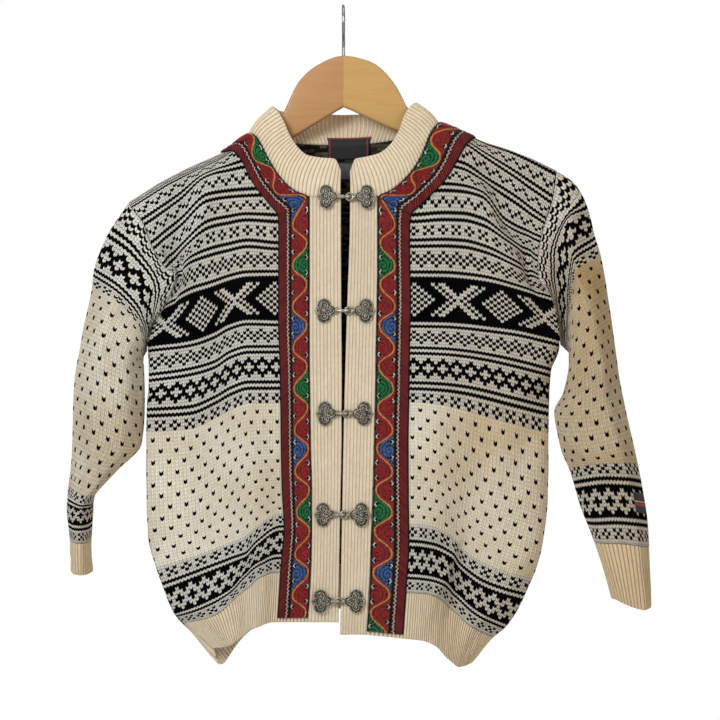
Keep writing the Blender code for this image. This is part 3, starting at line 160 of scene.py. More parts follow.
SLEEVE_RIGHT = (
    (0,   (128, 201, 0), (147, 233, 18), (170, 270, 23), (162, 311, 19), (146, 351, 0)),
    (8,   (108, 231, 0), (134, 252, 25), (157, 283, 28), (154, 313, 25), (143.5, 355, 0)),
    (20,  (92, 272, 0), (120, 290, 29), (141, 315, 27), (146, 334, 18), (142.5, 358.5, 0)),
    (28,  (89.3, 292, 0), (114, 306, 31), (136, 328, 27), (144, 345, 15), (142.5, 361, 0)),
    (40,  (80, 338, 0), (103, 347, 32), (124, 358, 30), (138, 366, 16), (143.3, 368, 0)),
    (52,  (72.6, 385, 0), (98, 396, 32), (122, 408, 29), (138, 415, 15), (143.6, 413, 0)),
    (62,  (71, 425, 0), (96, 437, 30), (119, 447, 25), (134, 449, 11), (140.5, 444, 0)),
    (70,  (69.3, 462, 0), (87, 470, 27), (103, 476, 23), (112, 474, 11), (115.5, 471, 0)),
    (77,  (66.6, 492, 0), (77, 497, 25), (85, 500, 28), (91, 500, 16), (93, 497, 0)),
    (86,  (65.6, 512, 0), (73, 514, 26), (79.5, 515, 31), (87.5, 514, 20), (91.5, 511, 0)),
    (98,  (68.3, 541, 0), (75, 543, 24), (81, 543.5, 28), (87, 543, 18), (90, 541, 0)),
    (116, (69, 573, 0), (75, 575, 21), (81, 575.5, 24), (87, 575, 16), (91, 573, 0)),
)
# collar: column on the front neckline, top edge (across, down, forward)
COLLAR_RIGHT = ((-9.5, 341, 171, 27), (-5, 334.5, 159, 27), (0, 321, 157.5, 26), (4, 307.5, 155, 25),
                (8, 298, 147, 23), (12, 289, 133, 19.5), (14, 283.5, 120, 16), (15.6, 278, 111, 12.5),
                (16.6, 273.5, 106.5, 8), (17, 271.5, 105.5, 0))
COLLAR_LEFT = ((-9.5, 350, 172, 27), (-5, 355.5, 159, 27), (0, 365, 157, 26), (4, 378, 153.5, 25),
               (8, 389.5, 145, 23), (12, 399, 130, 19.5), (14, 404, 116, 16), (15.6, 409, 107, 12.5),
               (16.6, 413.5, 102.3, 8), (17, 416, 101, 0))
# back of the collar: share of the way from centre back to the shoulder, down, back
COLLAR_BACK = ((0, 112, 26), (0.34, 110.8, 25), (0.68, 108.5, 20), (0.93, 104, 10))
COLLAR_ROLL = 3.5         # how far the collar bows out between its edges


def pchip(xk, yk, x):
    """Monotone cubic through (xk, yk); yk may have trailing axes."""
    xk = np.asarray(xk, float)
    yk = np.asarray(yk, float)
    single = np.ndim(x) == 0
    x = np.atleast_1d(np.asarray(x, float))
    h = np.diff(xk).reshape((len(xk) - 1,) + (1,) * (yk.ndim - 1))
    m = np.diff(yk, axis=0) / h
    d = np.zeros_like(yk)
    if len(xk) > 2:
        w1 = 2 * h[1:] + h[:-1]
        w2 = h[1:] + 2 * h[:-1]
        same = m[:-1] * m[1:] > 0
        with np.errstate(divide="ignore", invalid="ignore"):
            inner = (w1 + w2) / (w1 / m[:-1] + w2 / m[1:])
        d[1:-1] = np.where(same, np.nan_to_num(inner), 0.0)
    d[0], d[-1] = m[0], m[-1]
    i = np.clip(np.searchsorted(xk, x, side="right") - 1, 0, len(xk) - 2)
    hh = np.diff(xk)[i]
    t = np.clip((x - xk[i]) / hh, -1, 2)
    if yk.ndim > 1:
        tail = x.shape + (1,) * (yk.ndim - 1)
        t, hh = t.reshape(tail), hh.reshape(tail)
    out = (yk[i] * (2 * t ** 3 - 3 * t ** 2 + 1) + yk[i + 1] * (3 * t ** 2 - 2 * t ** 3)
           + hh * (d[i] * (t ** 3 - 2 * t ** 2 + t) + d[i + 1] * (t ** 3 - t ** 2)))
    return out[0] if single else out


def smooth_rows(rk, table, r):
    """Smooth interpolation down the rows: the monotone curve."""
    return pchip(rk, table, r)


def column(table, name):
    return np.array([row[name] for row in table], float)


def neck_row(c):
    """Knit row of the front neckline at a stitch column."""
    return pchip(column(NECKLINE, 0), column(NECKLINE, 1), np.clip(c, 0, COL_NECK))


def back_neck_row(c):
    """Knit row of the back neckline at a stitch column."""
    wide = np.clip((c - COL_BAND) / (COL_NECK - COL_BAND), 0, 1)
    return ROW_TOP + BACK_NECK_DROP * np.sqrt(1 - wide ** 2)


def side_profile(u, r):
    """1 over the middle of a panel, 0 at its side: rounded below the underarm,
    straighter where the sleeve carries on from the armhole."""
    power = 1 - 0.5 * np.clip((r - 52.0) / (ROW_UNDERARM - 52.0), 0, 1)
    return np.clip(1 - np.clip(u, 0, 1) ** 4, 0, 1) ** power


def front_surface(table, edge, c, r):
    """Points (across, down, forward) on a front, for a grid of rows r x columns c."""
    rk = column(table, 0)
    xs = np.array([row[1] for row in table], float)
    ds = np.array([row[2] for row in table], float)
    cin = np.clip(c, 0, None)
    X = smooth_rows(rk, pchip(COLS, xs.T, cin).T, r)
    D = smooth_rows(rk, pchip(COLS, ds.T, cin).T, r)
    free = pchip(column(BAND_EDGE, 0), column(BAND_EDGE, edge), r)[:, None]
    t = np.clip(c / COL_BAND, 0, None)[None, :]
    x0 = smooth_rows(rk, xs[:, 0], r)[:, None]
    X = np.where(t > 0, x0 + (free - x0) * t, X)
    fall = pchip(column(DEPTH, 0), column(DEPTH, 1), r)[:, None]
    s = side_profile((cin / COL_SIDE)[None, :], r[:, None])
    arm = pchip(column(ARMHOLE, 0), column(ARMHOLE, 1), np.clip(r, ROW_TOP, ROW_UNDERARM))[:, None]
    F = fall * s + arm * (1 - s)
    hang = pchip(column(DEPTH, 0), column(DEPTH, 3), r)[:, None]
    cc = c[None, :]
    F = F + hang * (np.exp(-((cc - 18) / 6.0) ** 2) - np.exp(-((cc - 31) / 6.5) ** 2))
    fc = pchip(column(SHOULDER_FOLD, 0), column(SHOULDER_FOLD, 1), r)[:, None]
    fh = pchip(column(SHOULDER_FOLD, 0), column(SHOULDER_FOLD, 2), np.clip(r, -4, 54))[:, None]
    taper = np.clip((COL_SIDE - cc) / 4.0, 0, 1)
    F = F + fh * (0.6 * np.exp(-((cc - fc + 4) / 4.5) ** 2)
                  - 1.1 * taper * np.exp(-((cc - fc - 5) / 5.5) ** 2))
    return np.stack([X, D, F], -1)


def grid_of(surface, c0, c1, r0, r1, step=0.5):
    c = np.arange(c0, c1 + step / 2, step)
    r = np.arange(r0, r1 + step / 2, step)
    return dict(c0=c0, r0=r0, step=step, p=surface(c, r))


def look_up(g, c, r):
    """Bilinear reading of a fine grid at columns c and rows r (same shapes)."""
    c, r = np.broadcast_arrays(np.asarray(c, float), np.asarray(r, float))
    p = g["p"]
    i = (r - g["r0"]) / g["step"]
    j = (c - g["c0"]) / g["step"]
    i0 = np.clip(np.floor(i).astype(int), 0, p.shape[0] - 2)
    j0 = np.clip(np.floor(j).astype(int), 0, p.shape[1] - 2)
    fi = (i - i0)[..., None]
    fj = (j - j0)[..., None]
    return ((p[i0, j0] * (1 - fj) + p[i0, j0 + 1] * fj) * (1 - fi)
            + (p[i0 + 1, j0] * (1 - fj) + p[i0 + 1, j0 + 1] * fj) * fi)


def make_body():
    right = grid_of(lambda c, r: front_surface(FRONT_RIGHT, 1, c, r), COL_BAND, COL_SIDE, ROW_TOP, ROW_END)
    left = grid_of(lambda c, r: front_surface(FRONT_LEFT, 2, c, r), COL_BAND, COL_SIDE, ROW_TOP, ROW_END)

    def back_surface(b, r):
        c = np.abs(b) + COL_BAND
        wide = np.abs(b) / BACK_HALF
        out = np.zeros((len(r), len(b), 3))
        edge = {}
        for name, g, tip in (("r", right, -1), ("l", left, 1)):
            e = look_up(g, COL_SIDE, r)
            k = np.clip((r - ROW_TOP) / (ROW_UNDERARM - ROW_TOP), 0, 1)
            top, low = look_up(g, COL_SIDE, ROW_TOP), look_up(g, COL_SIDE, ROW_UNDERARM)
            plain = top[None, :] + (low - top)[None, :] * k[:, None]
            plain[:, 0] += -tip * 3.0 * np.sin(np.pi * k)
            e = np.where((k < 1)[:, None], plain, e)
            edge[name] = e
        centre_d = pchip((-4, 4, 12, 151, 168), (126, 150, 173, 568, 612), r)
        for k, bb in enumerate(b):
            g, e = (right, edge["r"]) if bb < 0 else (left, edge["l"])
            w = wide[k]
            top = look_up(g, max(c[k], COL_BAND), ROW_TOP)
            far = look_up(left if bb < 0 else right, max(c[k], COL_BAND), ROW_TOP)
            own = min(abs(bb) / 18.0, 1.0)         # the two shoulders meet smoothly
            own = 0.5 + 0.5 * own * own * (3 - 2 * own)
            half = (e[:, 0] - BOARD_CENTRE)
            top_half = look_up(g, COL_SIDE, ROW_TOP)[0] - BOARD_CENTRE
            if c[k] < 0:
                top_x = BOARD_CENTRE + (look_up(g, 0.0, ROW_TOP)[0] - BOARD_CENTRE) * abs(bb) / -COL_BAND
            else:
                top_x = top[0]
            share = (top_x - BOARD_CENTRE) / top_half
            even = share + (w - share) * np.clip((r - ROW_TOP) / 60.0, 0, 1)
            out[:, k, 0] = BOARD_CENTRE + half * even
            low = centre_d + (e[:, 1] - centre_d) * w ** 2.3
            fade = np.clip((r - ROW_TOP) / 22.0, 0, 1)
            fade = fade * fade * (3 - 2 * fade)
            high = top[1] * own + far[1] * (1 - own) + (r - ROW_TOP) * 3.0
            out[:, k, 1] = high * (1 - fade * (1 - w ** 8)) + low * fade * (1 - w ** 8)
            near = w ** 12 * np.clip((r - ROW_TOP) / 9.0, 0, 1)
            out[:, k, 1] = np.where(w > 0.999, e[:, 1], out[:, k, 1] * (1 - near) + e[:, 1] * near)
            s = side_profile(w, r)
            arm = pchip(column(ARMHOLE, 0), column(ARMHOLE, 2), np.clip(r, ROW_TOP, ROW_UNDERARM))
            fall = pchip(column(DEPTH, 0), column(DEPTH, 2), r)
            hang = pchip(column(DEPTH, 0), column(DEPTH, 3), r) * 0.7
            wave = (np.exp(-((bb - 24) / 8.0) ** 2) + np.exp(-((bb + 30) / 7.0) ** 2)
                    - np.exp(-((bb - 40) / 6.5) ** 2) - 0.8 * np.exp(-((bb + 8) / 9.0) ** 2)
                    - np.exp(-((bb + 45) / 6.0) ** 2))
            out[:, k, 2] = -(fall * s + arm * (1 - s) + hang * wave)
        return out

    back = grid_of(back_surface, -BACK_HALF, BACK_HALF, ROW_TOP, ROW_END)
    return right, left, back


def make_sleeve(table, front, back, sign):
    """Sleeve grid: columns are shares 0..1 round the tube (outer edge, front,
    inner edge, back, outer edge), rows are sleeve rows."""
    sk = column(table, 0)
    rings = np.array([row[1:] for row in table], float)
    share = np.array((0, .125, .25, .375, .5))
    fine = np.linspace(0, 0.5, 101)
    s = np.arange(0, SLEEVE_END + 0.25, 0.5)
    ctrl = pchip(sk, rings, s)
    front_half = np.stack([pchip(share, ring, fine) for ring in ctrl])
    depth = np.array([ring[:, 2].max() for ring in ctrl])
    t = np.linspace(0, 1, 101)
    o, u = ctrl[:, 0][:, None, :], ctrl[:, 4][:, None, :]
    bow = np.sin(np.pi * t) ** 0.8
    back_half = u + (o - u) * t[None, :, None]
    back_half[:, :, 2] = -0.92 * depth[:, None] * bow[None, :]
    p = np.concatenate([front_half, back_half[:, 1:]], 1)
    rows = np.concatenate([ROW_TOP + (ROW_UNDERARM - ROW_TOP) * fine / 0.5,
                           ROW_UNDERARM + (ROW_TOP - ROW_UNDERARM) * t[1:]])
    armhole = np.concatenate([look_up(front, COL_SIDE, rows[:101]),
                              look_up(back, sign * BACK_HALF, rows[101:])])
    fade = np.clip(1 - s / 14.0, 0, 1) ** 2
    p = p + (armhole - p[0])[None] * fade[:, None, None]
    return dict(c0=0.0, r0=0.0, step=0.5, p=p, share=1)


def look_sleeve(g, share, s):
    """share 0..1 round, s sleeve row."""
    p = g["p"]
    share, s = np.broadcast_arrays(np.asarray(share, float), np.asarray(s, float))
    i, j = s / 0.5, share * (p.shape[1] - 1)
    i0 = np.clip(np.floor(i).astype(int), 0, p.shape[0] - 2)
    j0 = np.clip(np.floor(j).astype(int), 0, p.shape[1] - 2)
    fi, fj = (i - i0)[..., None], (j - j0)[..., None]
    return ((p[i0, j0] * (1 - fj) + p[i0, j0 + 1] * fj) * (1 - fi)
            + (p[i0 + 1, j0] * (1 - fj) + p[i0 + 1, j0 + 1] * fj) * fi)


def world(p):
    """Board (across, down, forward) in mm to metres, +Z up, front towards -Y."""
    p = np.asarray(p, float)
    return np.stack([(p[..., 0] - BOARD_CENTRE) * MM, -p[..., 2] * MM,
                     (BOARD_HOOK - p[..., 1]) * MM], -1)


# --------------------------------------------------------------------------
# sizes of the visible surface (millimetres)
# --------------------------------------------------------------------------
KNIT_WALL = 2.5           # stranded knit
RIB_WALL = 3.0            # ribbed pieces and the doubled collar
TRIM_WALL = 1.2           # woven trim
LABEL_WALL = 0.7
TRIM_LIFT = 0.45          # trim above the panel it lies on
LEG_HEIGHT = 0.5          # how proud the two legs of a stitch stand
ZIG = 0.48                # how far a stitch's middle hangs below its sides, in rows
SUB = 4                   # mesh steps across a stitch
SEAM_TUCK = 0.45          # how far a panel rolls in at its seams
EDGE = 0.05               # half a seam gap, in stitches or rows
RIB_DEEP = 1.25           # depth of a rib's groove
RIB_SUB = 6               # mesh steps across a rib
STITCH_MM, ROW_MM = 3.6, 3.05
TRIM_ACROSS = 33.0        # width of the woven trim
TRIM_STEPS_ACROSS = 50
TRIM_STEP_ALONG = 0.9
WAVE = 41.0               # length of one wave of the trim
ROPE = 0.42               # slanting cords of its braid, in one millimetre


def unit(v):
    return v / np.maximum(np.linalg.norm(v, axis=-1, keepdims=True), 1e-12)


def srgb(r, g, b):
    """A colour named on the 0-255 scale, as linear light."""
    c = np.array([r, g, b], float) / 255
    return tuple(np.where(c <= 0.04045, c / 12.92, ((c + 0.055) / 1.055) ** 2.4))


# --------------------------------------------------------------------------
# materials
# --------------------------------------------------------------------------
class Graph:
    """Short names for the shader nodes used below."""

    def __init__(self, name):
        self.mat = bpy.data.materials.new(name)
        self.mat.use_nodes = True
        self.tree = self.mat.node_tree
        self.bsdf = self.tree.nodes["Principled BSDF"]

    def put(self, socket, value):
        if isinstance(value, bpy.types.NodeSocket):
            self.tree.links.new(value, socket)
        elif value is not None:
            socket.default_value = value

    def math(self, op, a, b=None, c=None, clamp=False):
        n = self.tree.nodes.new("ShaderNodeMath")
        n.operation = op
        n.use_clamp = clamp
        for s, v in zip(n.inputs, (a, b, c)):
            self.put(s, v)
        return n.outputs[0]

    def add(self, a, b):
        return self.math("ADD", a, b)

    def sub(self, a, b):
        return self.math("SUBTRACT", a, b)

    def mul(self, a, b):
        return self.math("MULTIPLY", a, b)

    def uv(self, name):
        n = self.tree.nodes.new("ShaderNodeUVMap")
        n.uv_map = name
        return n.outputs[0]

    def split(self, vector):
        n = self.tree.nodes.new("ShaderNodeSeparateXYZ")
        self.put(n.inputs[0], vector)
        return n.outputs[0], n.outputs[1], n.outputs[2]

    def join(self, x, y, z=0.0):
        n = self.tree.nodes.new("ShaderNodeCombineXYZ")
        for s, v in zip(n.inputs, (x, y, z)):
            self.put(s, v)
        return n.outputs[0]

    def place(self):
        return self.tree.nodes.new("ShaderNodeTexCoord").outputs["Object"]

    def noise(self, vector, scale, detail=2.0, rough=0.5, stretch=None):
        if stretch:
            m = self.tree.nodes.new("ShaderNodeMapping")
            m.inputs["Scale"].default_value = stretch
            self.put(m.inputs["Vector"], vector)
            vector = m.outputs[0]
        n = self.tree.nodes.new("ShaderNodeTexNoise")
        n.inputs["Scale"].default_value = scale
        n.inputs["Detail"].default_value = detail
        n.inputs["Roughness"].default_value = rough
        self.put(n.inputs["Vector"], vector)
        return n.outputs["Fac"]

    def white(self, vector):
        n = self.tree.nodes.new("ShaderNodeTexWhiteNoise")
        n.noise_dimensions = "2D"
        self.put(n.inputs["Vector"], vector)
        return n.outputs["Value"]

    def ramp(self, value, stops):
        n = self.tree.nodes.new("ShaderNodeValToRGB")
        self.put(n.inputs[0], value)
        el = n.color_ramp.elements
        while len(el) < len(stops):
            el.new(0.5)
        for e, (pos, col) in zip(el, stops):
            e.position = pos
            e.color = (*col, 1.0)
        return n.outputs[0]

    def range(self, value, a, b, c, d):
        n = self.tree.nodes.new("ShaderNodeMapRange")
        for s, v in zip(n.inputs, (value, a, b, c, d)):
            self.put(s, v)
        return n.outputs[0]

    def mix(self, fac, a, b, blend="MIX"):
        n = self.tree.nodes.new("ShaderNodeMix")
        n.data_type = "RGBA"
        n.blend_type = blend
        self.put(n.inputs[0], fac)
        self.put(n.inputs[6], (*a, 1.0) if isinstance(a, tuple) else a)
        self.put(n.inputs[7], (*b, 1.0) if isinstance(b, tuple) else b)
        return n.outputs[2]

    def bump(self, height, strength, distance):
        n = self.tree.nodes.new("ShaderNodeBump")
        n.inputs["Strength"].default_value = strength
        n.inputs["Distance"].default_value = distance
        self.put(n.inputs["Height"], height)
        self.put(self.bsdf.inputs["Normal"], n.outputs[0])

    def surface(self, colour, rough, sheen=0.0, metal=0.0, coat=0.0, sheen_tint=None, shine=0.5):
        self.bsdf.inputs["Specular IOR Level"].default_value = shine
        self.put(self.bsdf.inputs["Base Color"], colour)
        self.put(self.bsdf.inputs["Roughness"], rough)
        self.bsdf.inputs["Metallic"].default_value = metal
        self.bsdf.inputs["Sheen Weight"].default_value = sheen
        self.bsdf.inputs["Sheen Roughness"].default_value = 0.45
        if sheen_tint:
            self.bsdf.inputs["Sheen Tint"].default_value = (*sheen_tint, 1.0)
        self.bsdf.inputs["Coat Weight"].default_value = coat
        return self.mat


def wool_knit(name, light, dark, gap, rib=0.0, sheen=0.25, between=0.6, yellowing_and_side_shade=0.0, shine=0.08):
    """Wool yarn in stitches: two twisted legs to each stitch, shade in the gaps
    between them, and yarn that differs a little from stitch to stitch."""
    g = Graph(name)
    c, r, _ = g.split(g.uv("knit"))
    col = g.math("FLOOR", g.add(c, 0.5))
    u = g.math("FRACT", g.add(c, 0.5))
    if rib:                                # the V of a stitch runs down the rib
        fold = g.math("ABSOLUTE", g.sub(g.mul(u, 2.0), 1.0))
        r = g.add(r, g.mul(fold, 0.8))
        legs = g.math("ABSOLUTE", g.sub(g.math("FRACT", g.mul(u, 2.0)), 0.5))
    else:
        legs = g.math("ABSOLUTE", g.sub(g.math("FRACT", g.mul(u, 2.0)), 0.5))
    row = g.math("FLOOR", g.add(r, 0.5))
    v = g.math("FRACT", g.add(r, 0.5))
    end = g.math("ABSOLUTE", g.sub(v, 0.5))
    side = g.math("SIGN", g.sub(u, 0.5))
    each = g.white(g.join(col, row))
    place = g.place()
    cloud = g.noise(place, 14.0, 3.0, 0.6)
    fuzz = g.noise(place, 900.0, 3.0, 0.7)
    ply = g.math("SINE", g.mul(g.add(g.mul(legs, 1.3), g.add(g.mul(v, 1.0), g.mul(side, g.mul(u, 2.0)))), 15.0))
    tone = g.add(g.mul(each, 0.45), g.mul(g.range(cloud, 0.3, 0.7, 0.0, 1.0), 0.45))
    tone = g.add(tone, g.mul(g.range(fuzz, 0.3, 0.7, -0.5, 0.5), 0.35))
    tone = g.add(tone, g.mul(ply, 0.07))
    yarn = g.mix(g.math("ADD", tone, 0.0, clamp=True), dark, light)
    if yellowing_and_side_shade:                               # wool yellowed in wide random patches, plus a warm darkening that grows towards +X: painted shade for the dimmer, warmer light on that side
        x, _, _ = g.split(place)
        yellowed_and_side_shaded = g.add(g.range(g.noise(place, 6.5, 2.0, 0.5), 0.42, 0.66, 0.0, 0.55), g.range(x, -0.02, 0.24, 0.0, 0.55))
        yarn = g.mix(g.math("MULTIPLY", yellowed_and_side_shaded, yellowing_and_side_shade, clamp=True), yarn, srgb(214, 184, 134), "MULTIPLY")
    if rib:                                # smooth ribs with shade only in the grooves
        groove = g.math("ABSOLUTE", g.sub(u, 0.5))
        edge = g.math("MAXIMUM", g.range(groove, 0.28, 0.48, 0.0, rib), g.range(legs, 0.42, 0.5, 0.0, 0.12))
    else:
        edge = g.math("MAXIMUM", g.range(legs, 0.36, 0.5, 0.0, between), g.range(end, 0.36, 0.5, 0.0, between))
    colour = g.mix(edge, yarn, gap)
    height = g.sub(g.mul(g.math("POWER", g.math("COSINE", g.mul(legs, math.pi)), 0.6), 1.0),
                   g.mul(g.math("POWER", g.mul(end, 2.0), 3.0), 0.25 if rib else 0.8))
    height = g.add(height, g.add(g.mul(ply, 0.16), g.mul(fuzz, 0.35)))
    g.bump(height, 0.9, 0.0005)
    return g.surface(colour, 0.95, sheen=sheen, sheen_tint=light, shine=shine)


def knit_inside(name):
    """Wrong side of stranded knit: short floats of both yarns along the rows, the cream floats painted dark as shade
    inside the garment, with painted shade between the rows.
    """
    g = Graph(name)
    c, r, _ = g.split(g.uv("knit"))
    row = g.math("FLOOR", g.mul(r, 1.0))
    v = g.math("ABSOLUTE", g.sub(g.math("FRACT", g.mul(r, 1.0)), 0.5))
    floats = g.white(g.join(g.math("FLOOR", g.mul(g.add(c, g.mul(row, 1.7)), 0.5)), row))
    fuzz = g.noise(g.place(), 800.0, 2.0)
    # cream floats in dark grey-brown and near-black between the rows: painted shade inside the garment
    colour = g.mix(g.range(floats, 0.3, 0.7, 0.0, 1.0), srgb(22, 20, 20), srgb(82, 75, 63))
    colour = g.mix(g.range(v, 0.3, 0.5, 0.0, 0.55), colour, srgb(10, 9, 9))
    g.bump(g.add(g.mul(v, -1.0), g.mul(fuzz, 0.4)), 0.8, 0.0006)
    return g.surface(colour, 0.95, sheen=0.03, shine=0.05)


def thread(name, light, dark, shine=0.5, slant=0.0, fine=2.2, sheen=0.02):
    """Embroidery or warp thread: fine strands lying across the trim."""
    g = Graph(name)
    t, s, _ = g.split(g.uv("knit"))
    line = g.add(g.mul(s, fine), g.mul(t, slant))
    strand = g.math("ABSOLUTE", g.sub(g.math("FRACT", line), 0.5))
    each = g.white(g.join(g.math("FLOOR", line), g.math("FLOOR", g.mul(t, 0.25))))
    cloud = g.noise(g.place(), 260.0, 2.0)
    tone = g.add(g.mul(each, 0.5), g.mul(g.range(cloud, 0.3, 0.7, 0.0, 1.0), 0.5))
    yarn = g.mix(tone, dark, light)
    # near-black between the strands: painted shade
    colour = g.mix(g.range(strand, 0.3, 0.5, 0.0, 0.65), yarn, tuple(0.25 * d for d in dark))
    g.bump(g.sub(1.0, g.mul(strand, 2.0)), 0.7, 0.0003)
    return g.surface(colour, 1.0 - shine, sheen=sheen, shine=0.22)


def twill(name, light, dark):
    """Heavy braid edge with steep slanting cords."""
    g = Graph(name)
    t, s, _ = g.split(g.uv("knit"))
    line = g.add(g.mul(s, ROPE), g.mul(t, -ROPE))
    cord = g.math("ABSOLUTE", g.sub(g.math("FRACT", line), 0.5))
    each = g.white(g.join(g.math("FLOOR", line), 0.0))
    fuzz = g.noise(g.place(), 700.0, 3.0)
    tone = g.add(g.mul(each, 0.5), g.mul(fuzz, 0.6))
    # near-black between the cords: painted shade
    colour = g.mix(g.range(cord, 0.16, 0.46, 0.0, 1.0), g.mix(tone, dark, light), srgb(14, 3, 7))
    g.bump(g.sub(1.0, g.mul(cord, 2.0)), 0.9, 0.0006)
    return g.surface(colour, 0.85, sheen=0.03, shine=0.12)


def wood(name, light, dark, tint):
    """Pale hardwood, its grain along the arm, under a thin clear varnish."""
    g = Graph(name)
    at = g.place()
    wide = g.noise(at, 7.0, 2.0, 0.5, stretch=(0.8, 6.0, 6.0))
    rings = g.math("SINE", g.mul(wide, 40.0))
    pores = g.noise(at, 120.0, 4.0, 0.7, stretch=(0.5, 6.0, 6.0))
    tone = g.add(g.mul(g.range(rings, -1.0, 1.0, 0.0, 1.0), 0.16), g.mul(g.range(pores, 0.3, 0.7, 0.0, 1.0), 0.26))
    tone = g.add(tone, g.add(g.mul(g.noise(at, 16.0, 2.0), 0.35), 0.12))
    colour = g.mix(g.math("ADD", tone, -0.05, clamp=True), dark, light)
    colour = g.mix(g.range(g.noise(at, 18.0, 1.0), 0.45, 0.75, 0.0, 0.3), colour, tint)
    g.bump(g.add(pores, g.mul(rings, 0.1)), 0.06, 0.0003)
    return g.surface(colour, g.range(pores, 0.3, 0.7, 0.46, 0.55), coat=0.12, shine=0.3)


def metal(name, light, dark, rough, scale=320.0):
    g = Graph(name)
    at = g.place()
    grime = g.noise(at, scale, 4.0, 0.65)
    patch = g.noise(at, scale * 0.22, 2.0)
    tone = g.math("ADD", g.mul(g.range(grime, 0.35, 0.65, 0.0, 1.0), 0.65), g.mul(patch, 0.4), clamp=True)
    g.bump(grime, 0.35, 0.0002)
    return g.surface(g.mix(tone, dark, light), g.range(grime, 0.3, 0.7, rough + 0.12, rough - 0.08), metal=1.0)


CREAM = wool_knit("wool_cream", srgb(247, 243, 232), srgb(226, 218, 200), srgb(160, 146, 120), sheen=0.08, yellowing_and_side_shade=0.8)
# darker copy of the cream for the sleeves: painted shade, as the sleeves hang back in shade
CREAM_ARM_SHADED = wool_knit("wool_cream_arm_shaded", srgb(233, 227, 212), srgb(208, 198, 177), srgb(132, 118, 94), sheen=0.05, yellowing_and_side_shade=0.8)
# darker, greyer cream with near-black gaps for cream stitches in patterned rows: partly black yarn showing between the
# stitches, partly painted shade
STRANDED_SHADED = wool_knit("wool_cream_stranded_shaded", srgb(231, 228, 220), srgb(203, 199, 190), srgb(28, 27, 28), sheen=0.03,
                     between=0.98, yellowing_and_side_shade=0.4, shine=0.04)
BLACK = wool_knit("wool_black", srgb(13, 13, 17), srgb(5, 5, 7), srgb(2, 2, 2), sheen=0.004, shine=0.01)
RIB = wool_knit("wool_rib", srgb(243, 229, 204), srgb(224, 206, 177), srgb(128, 104, 74), rib=0.62, sheen=0.06, yellowing_and_side_shade=0.55)
COLLAR = wool_knit("wool_collar", srgb(246, 232, 208), srgb(230, 213, 185), srgb(148, 124, 92), rib=0.46, sheen=0.06, yellowing_and_side_shade=0.35)
BAND = wool_knit("wool_band", srgb(236, 222, 199), srgb(220, 203, 177), srgb(160, 134, 102), rib=0.4, sheen=0.06, yellowing_and_side_shade=0.25)
INSIDE_SHADED = knit_inside("wool_inside_shaded")
GROUND = thread("trim_ground", srgb(17, 15, 18), srgb(5, 5, 7), 0.2)
WHITE = thread("trim_white", srgb(236, 234, 228), srgb(190, 186, 178), 0.4)
GOLD = thread("trim_gold", srgb(222, 150, 88), srgb(166, 98, 54), 0.5, slant=0.8)
RUST = thread("trim_rust", srgb(150, 50, 30), srgb(88, 20, 16), 0.5, slant=0.8)
RED = thread("trim_red", srgb(168, 32, 34), srgb(92, 12, 20), 0.5, slant=0.55)
GREEN = thread("trim_green", srgb(22, 132, 70), srgb(6, 66, 36), 0.5, slant=0.55)
BLUE = thread("trim_blue", srgb(74, 110, 170), srgb(26, 50, 102), 0.5, slant=0.55)
CORD = thread("trim_cord", srgb(232, 204, 190), srgb(170, 128, 116), 0.35, slant=0.9)
WINE = twill("trim_wine", srgb(140, 50, 48), srgb(80, 22, 28))
TRIM_MATERIALS = [GROUND, WHITE, GOLD, RUST, RED, GREEN, BLUE, CORD, WINE]


